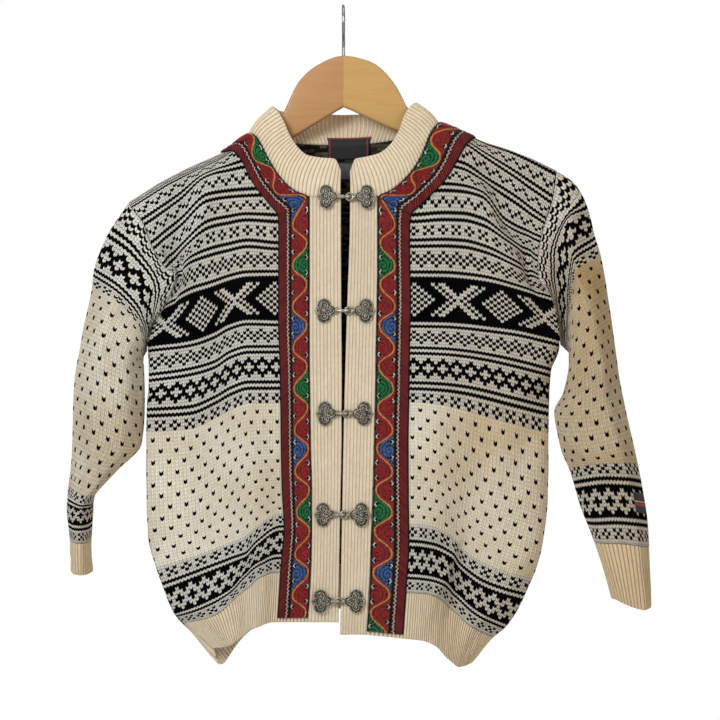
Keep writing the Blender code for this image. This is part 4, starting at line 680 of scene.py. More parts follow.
# --------------------------------------------------------------------------
# meshes
# --------------------------------------------------------------------------
class Build:
    """Collects points and faces and makes one mesh of them, with the UV map
    OFBake laid out flat and the UV map knit in stitches and rows."""

    def __init__(self):
        self.co, self.count, self.parts = [], 0, []

    def add(self, p):
        p = np.asarray(p, float).reshape(-1, 3)
        self.co.append(p)
        self.count += len(p)
        return self.count - len(p)

    def face(self, idx, bake=None, knit=None, slot=0, flip=False):
        idx = np.asarray(idx)
        n, k = idx.shape
        zero = np.zeros((n, k, 2))
        bake = zero if bake is None else bake
        knit = zero if knit is None else knit
        slot = np.broadcast_to(np.asarray(slot), (n,))
        if flip:
            idx, bake, knit = idx[:, ::-1], bake[:, ::-1], knit[:, ::-1]
        if k != 4:
            self.parts.append((idx, bake, knit, slot))
            return
        same = idx == np.roll(idx, -1, 1)
        bad = same.sum(1)
        w = bad == 0
        self.parts.append((idx[w], bake[w], knit[w], slot[w]))
        for m in range(4):                 # a face with one side closed up
            w = (bad == 1) & same[:, m]
            keep = [m, (m + 2) % 4, (m + 3) % 4]
            self.parts.append((idx[w][:, keep], bake[w][:, keep], knit[w][:, keep], slot[w]))

    def make(self, name, mats, bake=True, smooth=True):
        parts = [p for p in self.parts if len(p[0])]
        loops = np.concatenate([p[0].reshape(-1) for p in parts])
        sizes = np.concatenate([np.full(len(p[0]), p[0].shape[1]) for p in parts])
        slots = np.concatenate([p[3] for p in parts])
        co = np.concatenate(self.co)
        used, loops = np.unique(loops, return_inverse=True)
        co = co[used]
        mesh = bpy.data.meshes.new(name)
        mesh.vertices.add(len(co))
        mesh.vertices.foreach_set("co", co.astype(np.float32).reshape(-1))
        mesh.loops.add(len(loops))
        mesh.polygons.add(len(sizes))
        starts = np.concatenate([[0], np.cumsum(sizes)[:-1]])
        mesh.polygons.foreach_set("loop_start", starts.astype(np.int32))
        mesh.polygons.foreach_set("vertices", loops.reshape(-1).astype(np.int32))
        mesh.polygons.foreach_set("material_index", slots.astype(np.int32))
        mesh.polygons.foreach_set("use_smooth", np.full(len(sizes), smooth))
        for layer, k in (("OFBake", 1), ("knit", 2)):
            if layer == "OFBake" and not bake:
                continue
            uv = mesh.uv_layers.new(name=layer)
            uv.data.foreach_set("uv", np.concatenate([p[k].reshape(-1, 2) for p in parts]).astype(np.float32).reshape(-1))
        mesh.update(calc_edges=True)
        mesh.validate()
        for m in mats:
            mesh.materials.append(m)
        obj = bpy.data.objects.new(name, mesh)
        bpy.context.scene.collection.objects.link(obj)
        return obj


def normals(p, sign, around=False):
    """Area-weighted outward normals of a grid; around: its last column is its first."""
    q = np.cross(p[1:, 1:] - p[:-1, :-1], p[1:, :-1] - p[:-1, 1:])
    n = np.zeros_like(p)
    n[:-1, :-1] += q
    n[:-1, 1:] += q
    n[1:, 1:] += q
    n[1:, :-1] += q
    if around:
        n[:, 0] += n[:, -1]
        n[:, -1] = n[:, 0]
    return unit(n) * sign


def creases(c, r, strokes):
    """Sum of soft ridges (+) and troughs (-), each listed as: from column and row,
    to column and row, half width and height in millimetres."""
    x, y = c * STITCH_MM, r * ROW_MM
    out = np.zeros(np.broadcast(c, r).shape)
    for c0, r0, c1, r1, wide, high in strokes:
        ax, ay, bx, by = c0 * STITCH_MM, r0 * ROW_MM, c1 * STITCH_MM, r1 * ROW_MM
        t = ((x - ax) * (bx - ax) + (y - ay) * (by - ay)) / ((bx - ax) ** 2 + (by - ay) ** 2)
        k = np.clip(t, 0, 1)
        d2 = (x - ax - (bx - ax) * k) ** 2 + (y - ay - (by - ay) * k) ** 2
        out += high * np.exp(-d2 / wide ** 2) * (0.35 + 0.65 * np.sin(math.pi * k))
    return out


def unevenness(c, r, seed):
    """Slow swell of hand-blocked knit, under half a millimetre."""
    return 0.22 * (np.sin(0.31 * c + 0.17 * r + seed) + np.sin(0.13 * c - 0.29 * r + 2.1 * seed)
                   + 0.7 * np.sin(0.71 * c + 0.09 * r + 0.7 * seed) * np.sin(0.57 * r + seed))


SLEEVE_HALF = 26                           # half the stitches round a sleeve


class Field:
    """Outside of a panel as fine grids of points and outward normals."""

    def __init__(self, board, c, r, sign, around=False, strokes=(), seed=0.0):
        self.c0, self.dc, self.r0, self.dr = c[0], c[1] - c[0], r[0], r[1] - r[0]
        p = world(board)
        n = normals(p, sign, around)
        lift = creases(c[None, :], r[:, None], strokes) + unevenness(c[None, :], r[:, None], seed)
        if around:
            w = np.clip((SLEEVE_HALF - np.abs(c)) / 3, 0, 1)[None, :]
            lift = lift * w + lift[:, :1] * (1 - w) * 0.5 + lift[:, -1:] * (1 - w) * 0.5
        self.p = p + n * lift[..., None] * MM
        self.n = normals(self.p, sign, around)
        self.sign = sign

    def at(self, c, r):
        c, r = np.broadcast_arrays(np.asarray(c, float), np.asarray(r, float))
        i, j = (r - self.r0) / self.dr, (c - self.c0) / self.dc
        i0 = np.clip(np.floor(i).astype(int), 0, self.p.shape[0] - 2)
        j0 = np.clip(np.floor(j).astype(int), 0, self.p.shape[1] - 2)
        fi, fj = (i - i0)[..., None], (j - j0)[..., None]

        def mix(a):
            return ((a[i0, j0] * (1 - fj) + a[i0, j0 + 1] * fj) * (1 - fi)
                    + (a[i0 + 1, j0] * (1 - fj) + a[i0 + 1, j0 + 1] * fj) * fi)

        return mix(self.p), unit(mix(self.n))


def closed_sheet(name, P, Q, cc, rr, first, last, slots, mats, sign, around=False, coarse=1,
                 inner=0, rim=0, inner_slots=None):
    """Closed cloth between an outer grid P and an inner grid Q, one inner step to
    every `coarse` outer ones; columns are cut off above `first` and below `last`."""
    R1, C1 = P.shape[:2]
    R, ncell = R1 - 1, C1 if around else C1 - 1
    K = ncell // coarse
    K1 = K if around else K + 1
    m = Build()
    o, q = m.add(P), m.add(Q)

    def out(i, j):
        j = np.asarray(j) % C1
        return o + np.clip(i, first[j], last[j]) * C1 + j

    def inn(i, k):
        k = np.asarray(k) % K1
        j = (k * coarse) % C1
        return q + np.clip(i, first[j], last[j]) * K1 + k

    def uvs(u, v):
        u, v = np.broadcast_arrays(np.asarray(u, float), np.asarray(v, float))
        return np.stack([u, v], -1)

    i, j = (a.ravel() for a in np.meshgrid(np.arange(R), np.arange(ncell), indexing="ij"))
    corner = ((0, 0), (0, 1), (1, 1), (1, 0))
    m.face(np.stack([out(i + a, j + b) for a, b in corner], 1),
           np.stack([uvs(0.005 + 0.795 * (j + b) / ncell, 0.995 - 0.99 * (i + a) / R) for a, b in corner], 1),
           np.stack([uvs(cc[j + b], rr[i + a]) for a, b in corner], 1),
           np.asarray(slots).reshape(-1) if np.ndim(slots) else slots, flip=sign < 0)
    i, k = (a.ravel() for a in np.meshgrid(np.arange(R), np.arange(K), indexing="ij"))
    corner = ((0, 0), (1, 0), (1, 1), (0, 1))
    m.face(np.stack([inn(i + a, k + b) for a, b in corner], 1),
           np.stack([uvs(0.82 + 0.175 * (k + b) / K, 0.995 - 0.99 * (i + a) / R) for a, b in corner], 1),
           np.stack([uvs(cc[(k + b) * coarse], rr[i + a]) for a, b in corner], 1),
           inner if inner_slots is None else np.asarray(inner_slots).reshape(-1), flip=sign < 0)
    k = np.arange(K)
    run = [k * coarse + s for s in range(coarse + 1)]
    for i, band, order in ((0, 0.8015, run[::-1]), (R, 0.8055, run)):
        ends = (k, k + 1) if i == 0 else (k + 1, k)
        idx = [out(i, j) for j in order] + [inn(i, e) for e in ends]
        lift = [uvs(band, 0.995 - 0.99 * j / ncell) for j in order]
        lift += [uvs(band + 0.003, 0.995 - 0.99 * e / K) for e in ends]
        knit = [uvs(cc[j], rr[i]) for j in order] + [uvs(cc[e * coarse], rr[i]) for e in ends]
        m.face(np.stack(idx, 1), np.stack(lift, 1), np.stack(knit, 1), rim, flip=sign < 0)
    if not around:
        i = np.arange(R)
        for j, e, band, way in ((0, 0, 0.8095, ((0, 1), (1, 1), (1, 0), (0, 0))),
                                (ncell, K, 0.8135, ((1, 1), (0, 1), (0, 0), (1, 0)))):
            idx = [out(i + a, j) if b else inn(i + a, e) for a, b in way]
            lift = [uvs(band + (0 if b else 0.003), 0.995 - 0.99 * (i + a) / R) for a, b in way]
            knit = [uvs(cc[j], rr[i + a]) for a, b in way]
            m.face(np.stack(idx, 1), np.stack(lift, 1), np.stack(knit, 1), rim, flip=sign < 0)
    return m.make(name, mats)


# --------------------------------------------------------------------------
# charts: '#' is black, '.' is cream; read from stitch 10, repeated both ways
# --------------------------------------------------------------------------
PLAIN = (".",)
SOLID = ("#",)
BARS = ("#", ".", "#")
CROSSES = ("#..#.#..", ".#..#..#", "#..#.#..")
SEEDS = ("#...", ".#.#", "..#.")
LATTICE = ("#...", ".#.#", "#.#.", ".#.#", "..#.")
STEPS = ("#...", "##.#", ".###", "..#.", ".###", "##.#", "#...")
NET = (".###", "..#.", "#...", "##.#", "#...", "..#.", ".###")


def big_row(y, x):
    """Wide band on black: a chequered diamond, then a cross, every 24 stitches."""
    dy = abs(y - 7)
    if dy > 5:
        return np.ones(len(x), bool)
    dx = np.abs((x - 10 + 12) % 24 - 12)
    dz = np.abs((x - 22 + 12) % 24 - 12)
    diamond = (dx + dy <= 5) & ((dx + dy) % 2 == 1)
    arm = (dz == dy + 2) | (dz == dy) | ((dz == dy - 1) & (dy >= 1))
    return ~(diamond | arm)


def lice_row(y, x):
    """Single dark stitches, half-dropped, every third row."""
    if y % 3 != 2:
        return np.zeros(len(x), bool)
    return (x + (2 if (y // 3) % 2 else 0)) % 4 == 0


BODY_ROWS = ((-3, -3, SOLID), (-1, 1, SEEDS), (3, 5, BARS), (7, 9, SEEDS), (11, 13, BARS), (15, 17, SEEDS),
             (19, 21, BARS), (23, 25, SEEDS), (27, 29, BARS), (31, 33, CROSSES), (35, 37, BARS), (39, 43, LATTICE),
             (45, 45, SOLID), (47, 61, big_row), (63, 63, SOLID), (65, 69, LATTICE), (71, 73, BARS), (75, 81, STEPS),
             (83, 85, BARS), (87, 89, CROSSES), (90, 127, lice_row), (129, 131, CROSSES), (133, 135, BARS),
             (136, 142, NET), (143, 145, BARS), (147, 149, CROSSES))
SLEEVE_CHART = ((1, 5, LATTICE), (7, 9, BARS), (11, 17, STEPS), (19, 21, BARS), (23, 25, CROSSES), (26, 75, lice_row),
                (76, 78, CROSSES), (80, 82, BARS), (83, 89, NET), (90, 92, BARS), (94, 96, CROSSES))


def black_at(table, r, x):
    for low, high, motif in table:
        if low <= r <= high:
            if callable(motif):
                return motif(r - low, x)
            line = motif[(r - low) % len(motif)]
            return np.array([ch == "#" for ch in line])[(x - 10) % len(line)]
    return np.zeros(len(x), bool)


# --------------------------------------------------------------------------
# knitted panels
# --------------------------------------------------------------------------
def plain_rows(table, r):
    """Rows of single stitches on cream, where no dark yarn shows between."""
    return any(low <= r <= high and motif is lice_row for low, high, motif in table)


def leg_relief(c):
    return LEG_HEIGHT * np.sin(2 * math.pi * (c + 0.5)) ** 2 - 0.15


def knit_panel(name, field, c0, c1, top, bottom, table, shift=0, around=False, tuck=(True, True), plain=None):
    """Stitch by stitch panel from column c0 to c1 and row top(c) to bottom."""
    n = int(round((c1 - c0) * SUB))
    cols = np.linspace(c0, c1, n + 1)
    if around:
        cols = cols[:-1]
    u = (cols + 0.5) % 1.0
    zig = ZIG * (0.5 - np.abs(2 * u - 1))
    lid = top(cols)
    r_first = int(math.floor(float(np.min(lid)) + 0.5))
    r_last = int(math.floor(bottom + 0.5))
    edges = np.arange(r_first, r_last + 2) - 0.5
    rows = edges[:, None] + zig[None, :]
    rows[0] = -1e3
    rows[-1] = 1e3
    first = np.maximum((rows <= lid[None, :] + 0.05).sum(0) - 1, 0)
    last = (rows < bottom - 0.05).sum(0)
    rows = np.clip(rows, lid[None, :], bottom)
    inside_c = cols.copy()
    if not around:
        inside_c[0] += EDGE
        inside_c[-1] -= EDGE
    P, N = field.at(inside_c[None, :], rows)
    up = np.clip((-2.6 - rows) / 1.2, 0, 1)[..., None] if not around else 0.0
    N = unit(N * (1 - up) + np.array([0, 0, 1.0]) * up)
    lift = np.repeat(leg_relief(cols)[None, :], len(rows), 0)
    if not around:
        side = np.minimum(cols - c0 if tuck[0] else 99, c1 - cols if tuck[1] else 99)
        lift = lift - SEAM_TUCK * np.clip(1 - side / 0.8, 0, 1)[None, :] ** 1.5
    low = np.minimum(rows - lid[None, :], bottom - rows)
    lift = lift - SEAM_TUCK * np.clip(1 - low / 0.8, 0, 1) ** 1.5
    Po = P + N * lift[..., None] * MM
    pick = slice(None, None, SUB)
    Q = P[:, pick] - N[:, pick] * KNIT_WALL * MM
    mid = np.floor(0.5 * (cols[:-1] + cols[1:]) + 0.5) if not around else np.floor(cols + 0.5 / SUB + 0.5)
    mid = mid.astype(int) + shift
    slots = np.array([np.where(black_at(table, r_first + k, mid), 1, 0 if plain_rows(table, r_first + k) else 3)
                      for k in range(len(rows) - 1)], int)
    cc = np.append(cols, c1) if around else cols
    rr = edges
    # rims at the cut edges are drawn in black yarn (slot 1): painted shade in the seam gaps
    obj = closed_sheet(name, Po, Q, cc, rr, first, last, slots, [plain or CREAM, BLACK, INSIDE_SHADED, STRANDED_SHADED], field.sign,
                       around, SUB, inner=2, rim=1)
    return obj


def rounded(d, wall):
    """How far in a rounded edge lies at a distance d from it, leaving a thin flat."""
    half = wall * 0.42
    d = np.clip(d, 0, half)
    return half - np.sqrt(np.maximum(half ** 2 - (half - d) ** 2, 0))


def rib_profile(q):
    """0 on a rib's crown, -1 in its groove; q is whole on the crown."""
    return np.sin(math.pi * ((q + 0.5) % 1.0)) ** 0.75 - 1


def rib_panel(name, field, c0, c1, ribs, r0, r1, around=False, free_side=None, free_end=False, deep=RIB_DEEP,
              row_step=1.0, start=0.5, mat=None):
    """Ribbed piece with ribs running down the rows between two columns."""
    n = ribs * RIB_SUB
    q = np.linspace(0, ribs, n + 1) - start
    cols = np.linspace(c0, c1, n + 1)
    if around:
        q, cols = q[:-1], cols[:-1]
    rows = np.arange(r0, r1, row_step)
    if free_end:
        rows = np.concatenate([rows[rows < r1 - 0.62], r1 - np.array([0.5, 0.4, 0.28, 0.16, 0.06, 0.0])])
    else:
        rows = np.append(rows, r1)
    P, N = field.at(cols[None, :], rows[:, None])
    groove = rib_profile(q)[None, :] * deep + 0.25
    wave = 0.12 * np.sin(2 * math.pi * rows)[:, None] * (1 + rib_profile(q)[None, :])
    swell = 0.18 * np.sin(0.9 * q[None, :] + 0.23 * rows[:, None]) + 0.12 * np.sin(2.3 * q[None, :] - 0.31 * rows[:, None])
    lift = groove + wave + swell
    inner_lift = np.full(lift.shape, -RIB_WALL + 0.2)
    if free_end:
        d = (r1 - rows)[:, None] * ROW_MM
        lift = lift - rounded(d, RIB_WALL)
        inner_lift = inner_lift + rounded(d, RIB_WALL)
    if free_side is not None:
        d = (np.abs(cols - (c0 if free_side == 0 else c1)) * STITCH_MM)[None, :]
        lift = lift - rounded(d, RIB_WALL)
        inner_lift = inner_lift + rounded(d, RIB_WALL)
    Po = P + N * lift[..., None] * MM
    coarse = RIB_SUB // 2
    Q = (P + N * inner_lift[..., None] * MM)[:, ::coarse]
    width = n if around else n + 1
    qq = np.linspace(0, ribs, n + 1) - start
    return closed_sheet(name, Po, Q, qq, rows, np.zeros(width, int), np.full(width, len(rows) - 1), 0,
                        [mat or RIB], field.sign, around, coarse)


def collar_mesh(name, right, left, back, right_f, left_f, back_f):
    """Doubled ribbed collar, fanned along the neckline, folded over at its top."""
    cols = np.linspace(COL_BAND, COL_NECK, 160)
    low, high = [], []
    for g, table in ((right, COLLAR_RIGHT), (left, COLLAR_LEFT)):
        low.append(look_up(g, cols, neck_row(cols)))
        high.append(pchip(column(table, 0), np.array([row[1:] for row in table], float), cols))
    share = column(COLLAR_BACK, 0)
    half = COL_NECK - COL_BAND
    b = np.linspace(-half, half, 241)[1:-1]
    k = np.abs(b) / half
    end = np.where((b < 0)[:, None], high[0][-1][None], high[1][-1][None])
    across = BOARD_CENTRE + (end[:, 0] - BOARD_CENTRE) * np.sin(k * math.pi / 2)
    down = np.where(b < 0, pchip(np.append(share, 1.0), np.append(column(COLLAR_BACK, 1), high[0][-1][1]), k),
                    pchip(np.append(share, 1.0), np.append(column(COLLAR_BACK, 1), high[1][-1][1]), k))
    deep = pchip(np.append(share, 1.0), np.append(column(COLLAR_BACK, 2), 0.0), k)
    low_all = np.concatenate([low[0], look_up(back, b, back_neck_row(np.abs(b) + COL_BAND)), low[1][::-1]])
    high_all = np.concatenate([high[0], np.stack([across, down, -deep], 1), high[1][::-1]])
    mid = 0.5 * (low_all + high_all)
    run = np.concatenate([[0], np.cumsum(np.linalg.norm(np.diff(mid, axis=0), axis=1))])
    ribs = int(round(run[-1] / 3.9))
    fine = np.linspace(0, run[-1], ribs * RIB_SUB + 1)
    faces = np.concatenate([right_f.at(cols, neck_row(cols))[1], back_f.at(b, back_neck_row(np.abs(b) + COL_BAND))[1],
                            left_f.at(cols, neck_row(cols))[1][::-1]])
    faces = unit(np.stack([np.interp(fine, run, faces[:, a]) for a in range(3)], 1))
    low_all = np.stack([np.interp(fine, run, low_all[:, a]) for a in range(3)], 1)
    high_all = np.stack([np.interp(fine, run, high_all[:, a]) for a in range(3)], 1)
    mid = 0.5 * (low_all + high_all)
    out = mid[:, [0, 2]] - np.array([BOARD_CENTRE, 0.0])
    out = unit(out)
    ends = np.clip(np.minimum(fine, run[-1] - fine) / 30.0, 0, 1)[:, None]
    out = out * ends
    t = np.concatenate([[0, 0.008, 0.02, 0.035, 0.055], np.linspace(0.09, 1, 19)])
    grid = high_all[None] + (low_all - high_all)[None] * t[:, None, None]
    bow = COLLAR_ROLL * np.sin(np.pi * t)
    grid[:, :, 0] += bow[:, None] * out[None, :, 0]
    grid[:, :, 2] += bow[:, None] * out[None, :, 1]
    P = world(grid)
    N = normals(P, 1)
    q = np.linspace(0, ribs, ribs * RIB_SUB + 1) - 0.5
    tall = np.linalg.norm(low_all - high_all, axis=1)[None, :] * t[:, None]
    prof = rib_profile(q)[None, :]
    back_prof = rib_profile(q + 0.5)[None, :]
    edge = rounded(tall, RIB_WALL)
    side = rounded(np.minimum(fine, run[-1] - fine), RIB_WALL)[None, :]
    lip = np.clip(tall / 2.5, 0.35, 1)     # the fold keeps its ribs, softer
    tuck = 0.6 * np.clip(1 - (1 - t) / 0.05, 0, 1)[:, None]
    rows = t * 14.0
    wave = 0.12 * np.sin(2 * math.pi * rows)[:, None] * (1 + prof)
    swell = 0.2 * np.sin(0.8 * q[None, :] + 0.5 * rows[:, None])
    lift = prof * RIB_DEEP * lip + 0.3 + wave + swell - edge - side - tuck
    inner = -RIB_WALL - 0.1 - back_prof * RIB_DEEP * 0.8 * lip + edge + side
    inner = np.minimum(inner, lift - 0.35)
    Po = P + N * lift[..., None] * MM
    meet = np.clip((t - 0.8) / 0.2, 0, 1)[:, None, None] ** 2
    Q = P + (N * (1 - meet) + faces[None] * meet) * inner[..., None] * MM
    n = len(fine)
    obj = closed_sheet(name, Po, Q, q, rows, np.zeros(n, int), np.full(n, len(t) - 1), 0, [COLLAR], 1)
    return obj, dict(low=low_all, high=high_all, P=P, N=N, t=t, run=fine)


# --------------------------------------------------------------------------
# woven trim
# --------------------------------------------------------------------------
TRIM_LEFT = ((-4, 27.3, -4), (-3.5, 27.1, -3.5), (-2.6, 26.9, -2.6), (-0.5, 26.4, -0.5), (4, 25.2, 4),
             (10, 22.7, 10), (15.4, 19, 17.5), (19.6, 14, 23), (21.7, 9.4, 27.3))
TRIM_RIGHT = ((-4, 24.5, -4), (-3.5, 24.3, -3.5), (-2.6, 24.1, -2.6), (-0.5, 23.5, -0.5), (4, 22.2, 4),
              (10, 19.7, 10), (15.4, 16.3, 17.5), (19.6, 12, 23.5), (21.7, 9.2, 27.5))
BACK_TRIM_DROP = 18.0
# across the trim from its inner edge (mm)
STRIPE = dict(edge=0.7, field=18.9, cord=22.6, braid=24.6, end=32.0)
INNER_TONES, OUTER_TONES = (5, 4, 4), (4, 6, 4)    # lobes down the trim: green or blue among red


def trim_pattern(t, s):
    """Slot and height (mm) at t mm from the inner edge and s mm along: a gold wave
    between two edges, a leaf in each of its hollows, a twisted cord and a braid."""
    slot = np.zeros(t.shape, int)
    high = np.zeros(t.shape)
    w0, w1 = STRIPE["edge"], STRIPE["field"]
    reach = (w1 - w0) / 2 - 1.4
    phase = 2 * math.pi * s / WAVE
    wave = (w0 + w1) / 2 + reach * (np.sin(phase) + 0.05 * np.sin(3 * phase) - 0.08 * np.sin(2 * phase))
    slope = reach * 2 * math.pi / WAVE * (np.cos(phase) + 0.15 * np.cos(3 * phase) - 0.16 * np.cos(2 * phase))
    near = (t - wave) / np.sqrt(1 + slope ** 2)
    field = (t > w0) & (t < w1)
    for inner, tones in ((True, INNER_TONES), (False, OUTER_TONES)):
        turn = np.round(s / WAVE - (0.25 if inner else 0.75)).astype(int)
        ds = s - (turn + (0.25 if inner else 0.75)) * WAVE
        x = t - w0 if inner else w1 - t
        off = -near if inner else near     # clear of the wave
        tone = np.array(tones)[turn % 3]
        leaf = field & (off > 1.0) & (x > 0.55)
        curl = np.hypot(x - 4.6, ds * 0.8 - 0.8) / 3.1 + np.arctan2(ds * 0.8 - 0.8, x - 4.6) / (2 * math.pi)
        vein = (curl % 1.0 < 0.27) & (np.abs(ds) < 9)
        rib = np.abs((x * 0.8 - (np.abs(ds) - 9) * 0.55) % 3.0 - 1.5) < 0.42
        slot = np.where(leaf, tone, slot)
        high = np.where(leaf, 0.3, high)
        slot = np.where(leaf & (vein | (rib & (np.abs(ds) >= 9))), np.where(tone == 4, 3, 0), slot)
        slot = np.where(leaf & vein & (curl % 1.0 < 0.15), 0, slot)
        high = np.where(leaf & vein, 0.12, high)
        out = np.abs(ds) - 7.6
        tick = np.hypot(x - 1.6, out * 0.8)
        slot = np.where(field & (off > 0.8) & (tick < 2.3), 0, slot)
        slot = np.where(field & (np.abs(np.abs(out) * 0.9 - (x - 0.5)) < 0.5) & (x > 0.3) & (x < 2.5), 1, slot)
        high = np.where(field & (tick < 2.3), 0.1, high)
    band = field & (np.abs(near) < 0.72)
    slot = np.where(band, 2, slot)
    high = np.where(band, 0.5, high)
    under = field & (np.abs(near - 1.35) < 0.42)
    slot = np.where(under, 3, slot)
    high = np.where(under, 0.35, high)
    mid = STRIPE["cord"] + 0.7 * np.sin(2 * math.pi * s / 4.0)
    cord = np.abs(t - mid) < 0.66
    slot = np.where(cord, 7, slot)
    high = np.where(cord, 0.2 + 0.45 * np.sqrt(np.clip(1 - ((t - mid) / 0.7) ** 2, 0, 1)), high)
    b0, b1 = STRIPE["braid"], STRIPE["end"]
    braid = (t > b0) & (t < b1)
    slot = np.where(braid, 8, slot)
    rope = np.abs((ROPE * (s - t)) % 1.0 - 0.5)
    high = np.where(braid, 0.6 - 0.6 * rope - 0.25 * ((t - (b0 + b1) / 2) / 3) ** 2, high)
    return slot, high


def trim_mesh(name, field, stations, s_of, sign, mitre=None):
    """Trim along stations of (inner column, inner row, outer column, outer row)."""
    st = np.array(stations, float)
    pin, _ = field.at(st[:, 0], st[:, 1])
    pout, _ = field.at(st[:, 2], st[:, 3])
    mid = 0.5 * (pin + pout)
    run = np.concatenate([[0], np.cumsum(np.linalg.norm(np.diff(mid, axis=0), axis=1))]) * 1000
    n = int(run[-1] / TRIM_STEP_ALONG)
    along = np.linspace(run[0] + 0.3, run[-1] - 0.3, n + 1)
    fine = pchip(run, st, along)
    t = np.linspace(0, 1, TRIM_STEPS_ACROSS + 1)
    c = fine[:, 0:1] + (fine[:, 2:3] - fine[:, 0:1]) * t[None, :]
    r = fine[:, 1:2] + (fine[:, 3:4] - fine[:, 1:2]) * t[None, :]
    P, N = field.at(c, r)
    s = s_of(along)
    lift = TRIM_LIFT
    tm = 0.5 * (t[:-1] + t[1:]) * TRIM_ACROSS
    sm = 0.5 * (s[:-1] + s[1:])
    slots, _ = trim_pattern(np.repeat(tm[None], n, 0), np.repeat(sm[:, None], len(tm), 1))
    _, high = trim_pattern(np.repeat(t[None] * TRIM_ACROSS, n + 1, 0), np.repeat(s[:, None], len(t), 1))
    ease = np.clip(np.minimum(t, 1 - t) * TRIM_ACROSS / 1.0, 0, 1)[None, :]
    if mitre is not None:                  # sewn corner: a dark line where two lengths meet
        slots = np.where((np.abs(sm - mitre) < 0.75)[:, None], 0, slots)
    Po = P + N * (lift + TRIM_WALL * (0.55 + 0.45 * ease) + high * ease)[..., None] * MM
    Q = (P + N * lift * MM)[:, ::5]
    w = len(t)
    obj = closed_sheet(name, Po, Q, t * TRIM_ACROSS, s, np.zeros(w, int), np.full(w, n), slots, TRIM_MATERIALS,
                       sign, coarse=5)
    return obj, run[-1]


# --------------------------------------------------------------------------
# wires, beads and plates
# --------------------------------------------------------------------------
def sweep(m, path, radius, sides=6, slot=0, closed=False, up=None):
    """Round wire along a path; radius may change along it."""
    p = np.asarray(path, float)
    n = len(p)
    rad = np.broadcast_to(np.asarray(radius, float), (n,))
    tan = unit(np.roll(p, -1, 0) - np.roll(p, 1, 0)) if closed else unit(np.gradient(p, axis=0))
    if up is None:
        side = np.zeros_like(p)
        last = unit(np.cross(tan[0], np.array([0.3, 0.9, 0.2])))
        for k in range(n):
            last = unit(last - tan[k] * np.dot(last, tan[k]))
            side[k] = last
    else:
        side = unit(np.cross(np.broadcast_to(up, p.shape), tan))
    other = np.cross(tan, side)
    a = 2 * math.pi * np.arange(sides) / sides
    ring = p[:, None] + rad[:, None, None] * (side[:, None] * np.cos(a)[None, :, None]
                                              + other[:, None] * np.sin(a)[None, :, None])
    base = m.add(ring)
    last = n if closed else n - 1
    i, j = (x.ravel() for x in np.meshgrid(np.arange(last), np.arange(sides), indexing="ij"))
    k, l = (i + 1) % n, (j + 1) % sides
    m.face(base + np.stack([i * sides + j, i * sides + l, k * sides + l, k * sides + j], 1), slot=slot)
    if not closed:
        m.face((base + np.arange(sides))[None, ::-1], slot=slot)
        m.face((base + (n - 1) * sides + np.arange(sides))[None], slot=slot)


def bead(m, centre, radius, up, slot=0, flat=0.75):
    """Small domed bead."""
    z = unit(np.asarray(up, float))
    x = unit(np.cross(np.array([0.1, 0.2, 1.0]), z))
    y = np.cross(z, x)
    rows, cols = 5, 8
    pts = [centre - z * radius * flat]
    for i in range(1, rows):
        a = math.pi * i / rows
        for j in range(cols):
            b = 2 * math.pi * j / cols
            pts.append(centre + radius * (math.sin(a) * (x * math.cos(b) + y * math.sin(b)) - z * flat * math.cos(a)))
    pts.append(centre + z * radius * flat)
    base = m.add(pts)
    j = np.arange(cols)
    k = (j + 1) % cols
    m.face(base + np.stack([np.zeros(cols, int), 1 + k, 1 + j], 1), slot=slot)
    for i in range(rows - 2):
        a = 1 + i * cols
        m.face(base + np.stack([a + j, a + k, a + cols + k, a + cols + j], 1), slot=slot)
    a = 1 + (rows - 2) * cols
    m.face(base + np.stack([a + j, a + k, np.full(cols, a + cols)], 1), slot=slot)


def plate(m, outline, levels, to_world, slot=0):
    """Flat solid from an outline (x, y) at (height, scale about its middle) levels."""
    o = np.asarray(outline, float)
    mid = o.mean(0)
    rings = [to_world(np.column_stack([mid + (o - mid) * s, np.full(len(o), z)])) for z, s in levels]
    base = m.add(np.concatenate(rings))
    n = len(o)
    j = np.arange(n)
    k = (j + 1) % n
    for i in range(len(levels) - 1):
        a = i * n
        m.face(base + np.stack([a + j, a + k, a + n + k, a + n + j], 1), slot=slot)
    m.face((base + j)[None, ::-1], slot=slot)
    m.face((base + (len(levels) - 1) * n + j)[None], slot=slot)


PEWTER = metal("pewter", srgb(196, 189, 174), srgb(100, 94, 84), 0.42)
PEWTER_DARK = metal("pewter_recess", srgb(110, 104, 92), srgb(48, 45, 39), 0.55)
STEEL = metal("plated_wire", srgb(176, 177, 181), srgb(140, 141, 146), 0.3, 40.0)

CLASPS = ((328, 365, 197.5), (326, 364, 311), (327, 362, 413.5), (325, 359.5, 514), (322.5, 354.5, 600))
CLASP_LIFT = (2.6, 0.7, 0.7, 0.7, 0.7)
EYE_REACH = 15.5
LOBES = ((-1.9, 5.5, 6.3), (-1.9, -5.5, 6.3), (5.0, 0.0, 4.8), (-2.6, 0.0, 6.4))    # x, y, radius


def lobed_outline(count=72, grow=0.0):
    """Outline of the plate: the outside of its four overlapping circles."""
    a = 2 * math.pi * np.arange(count) / count
    best = np.zeros(count)
    for cx, cy, rad in LOBES:
        rad = rad + grow
        along = cx * np.cos(a) + cy * np.sin(a)
        off = rad ** 2 - (cx * np.sin(a) - cy * np.cos(a)) ** 2
        best = np.maximum(best, np.where(off > 0, along + np.sqrt(np.maximum(off, 0)), 0))
    return np.column_stack([best * np.cos(a), best * np.sin(a)])


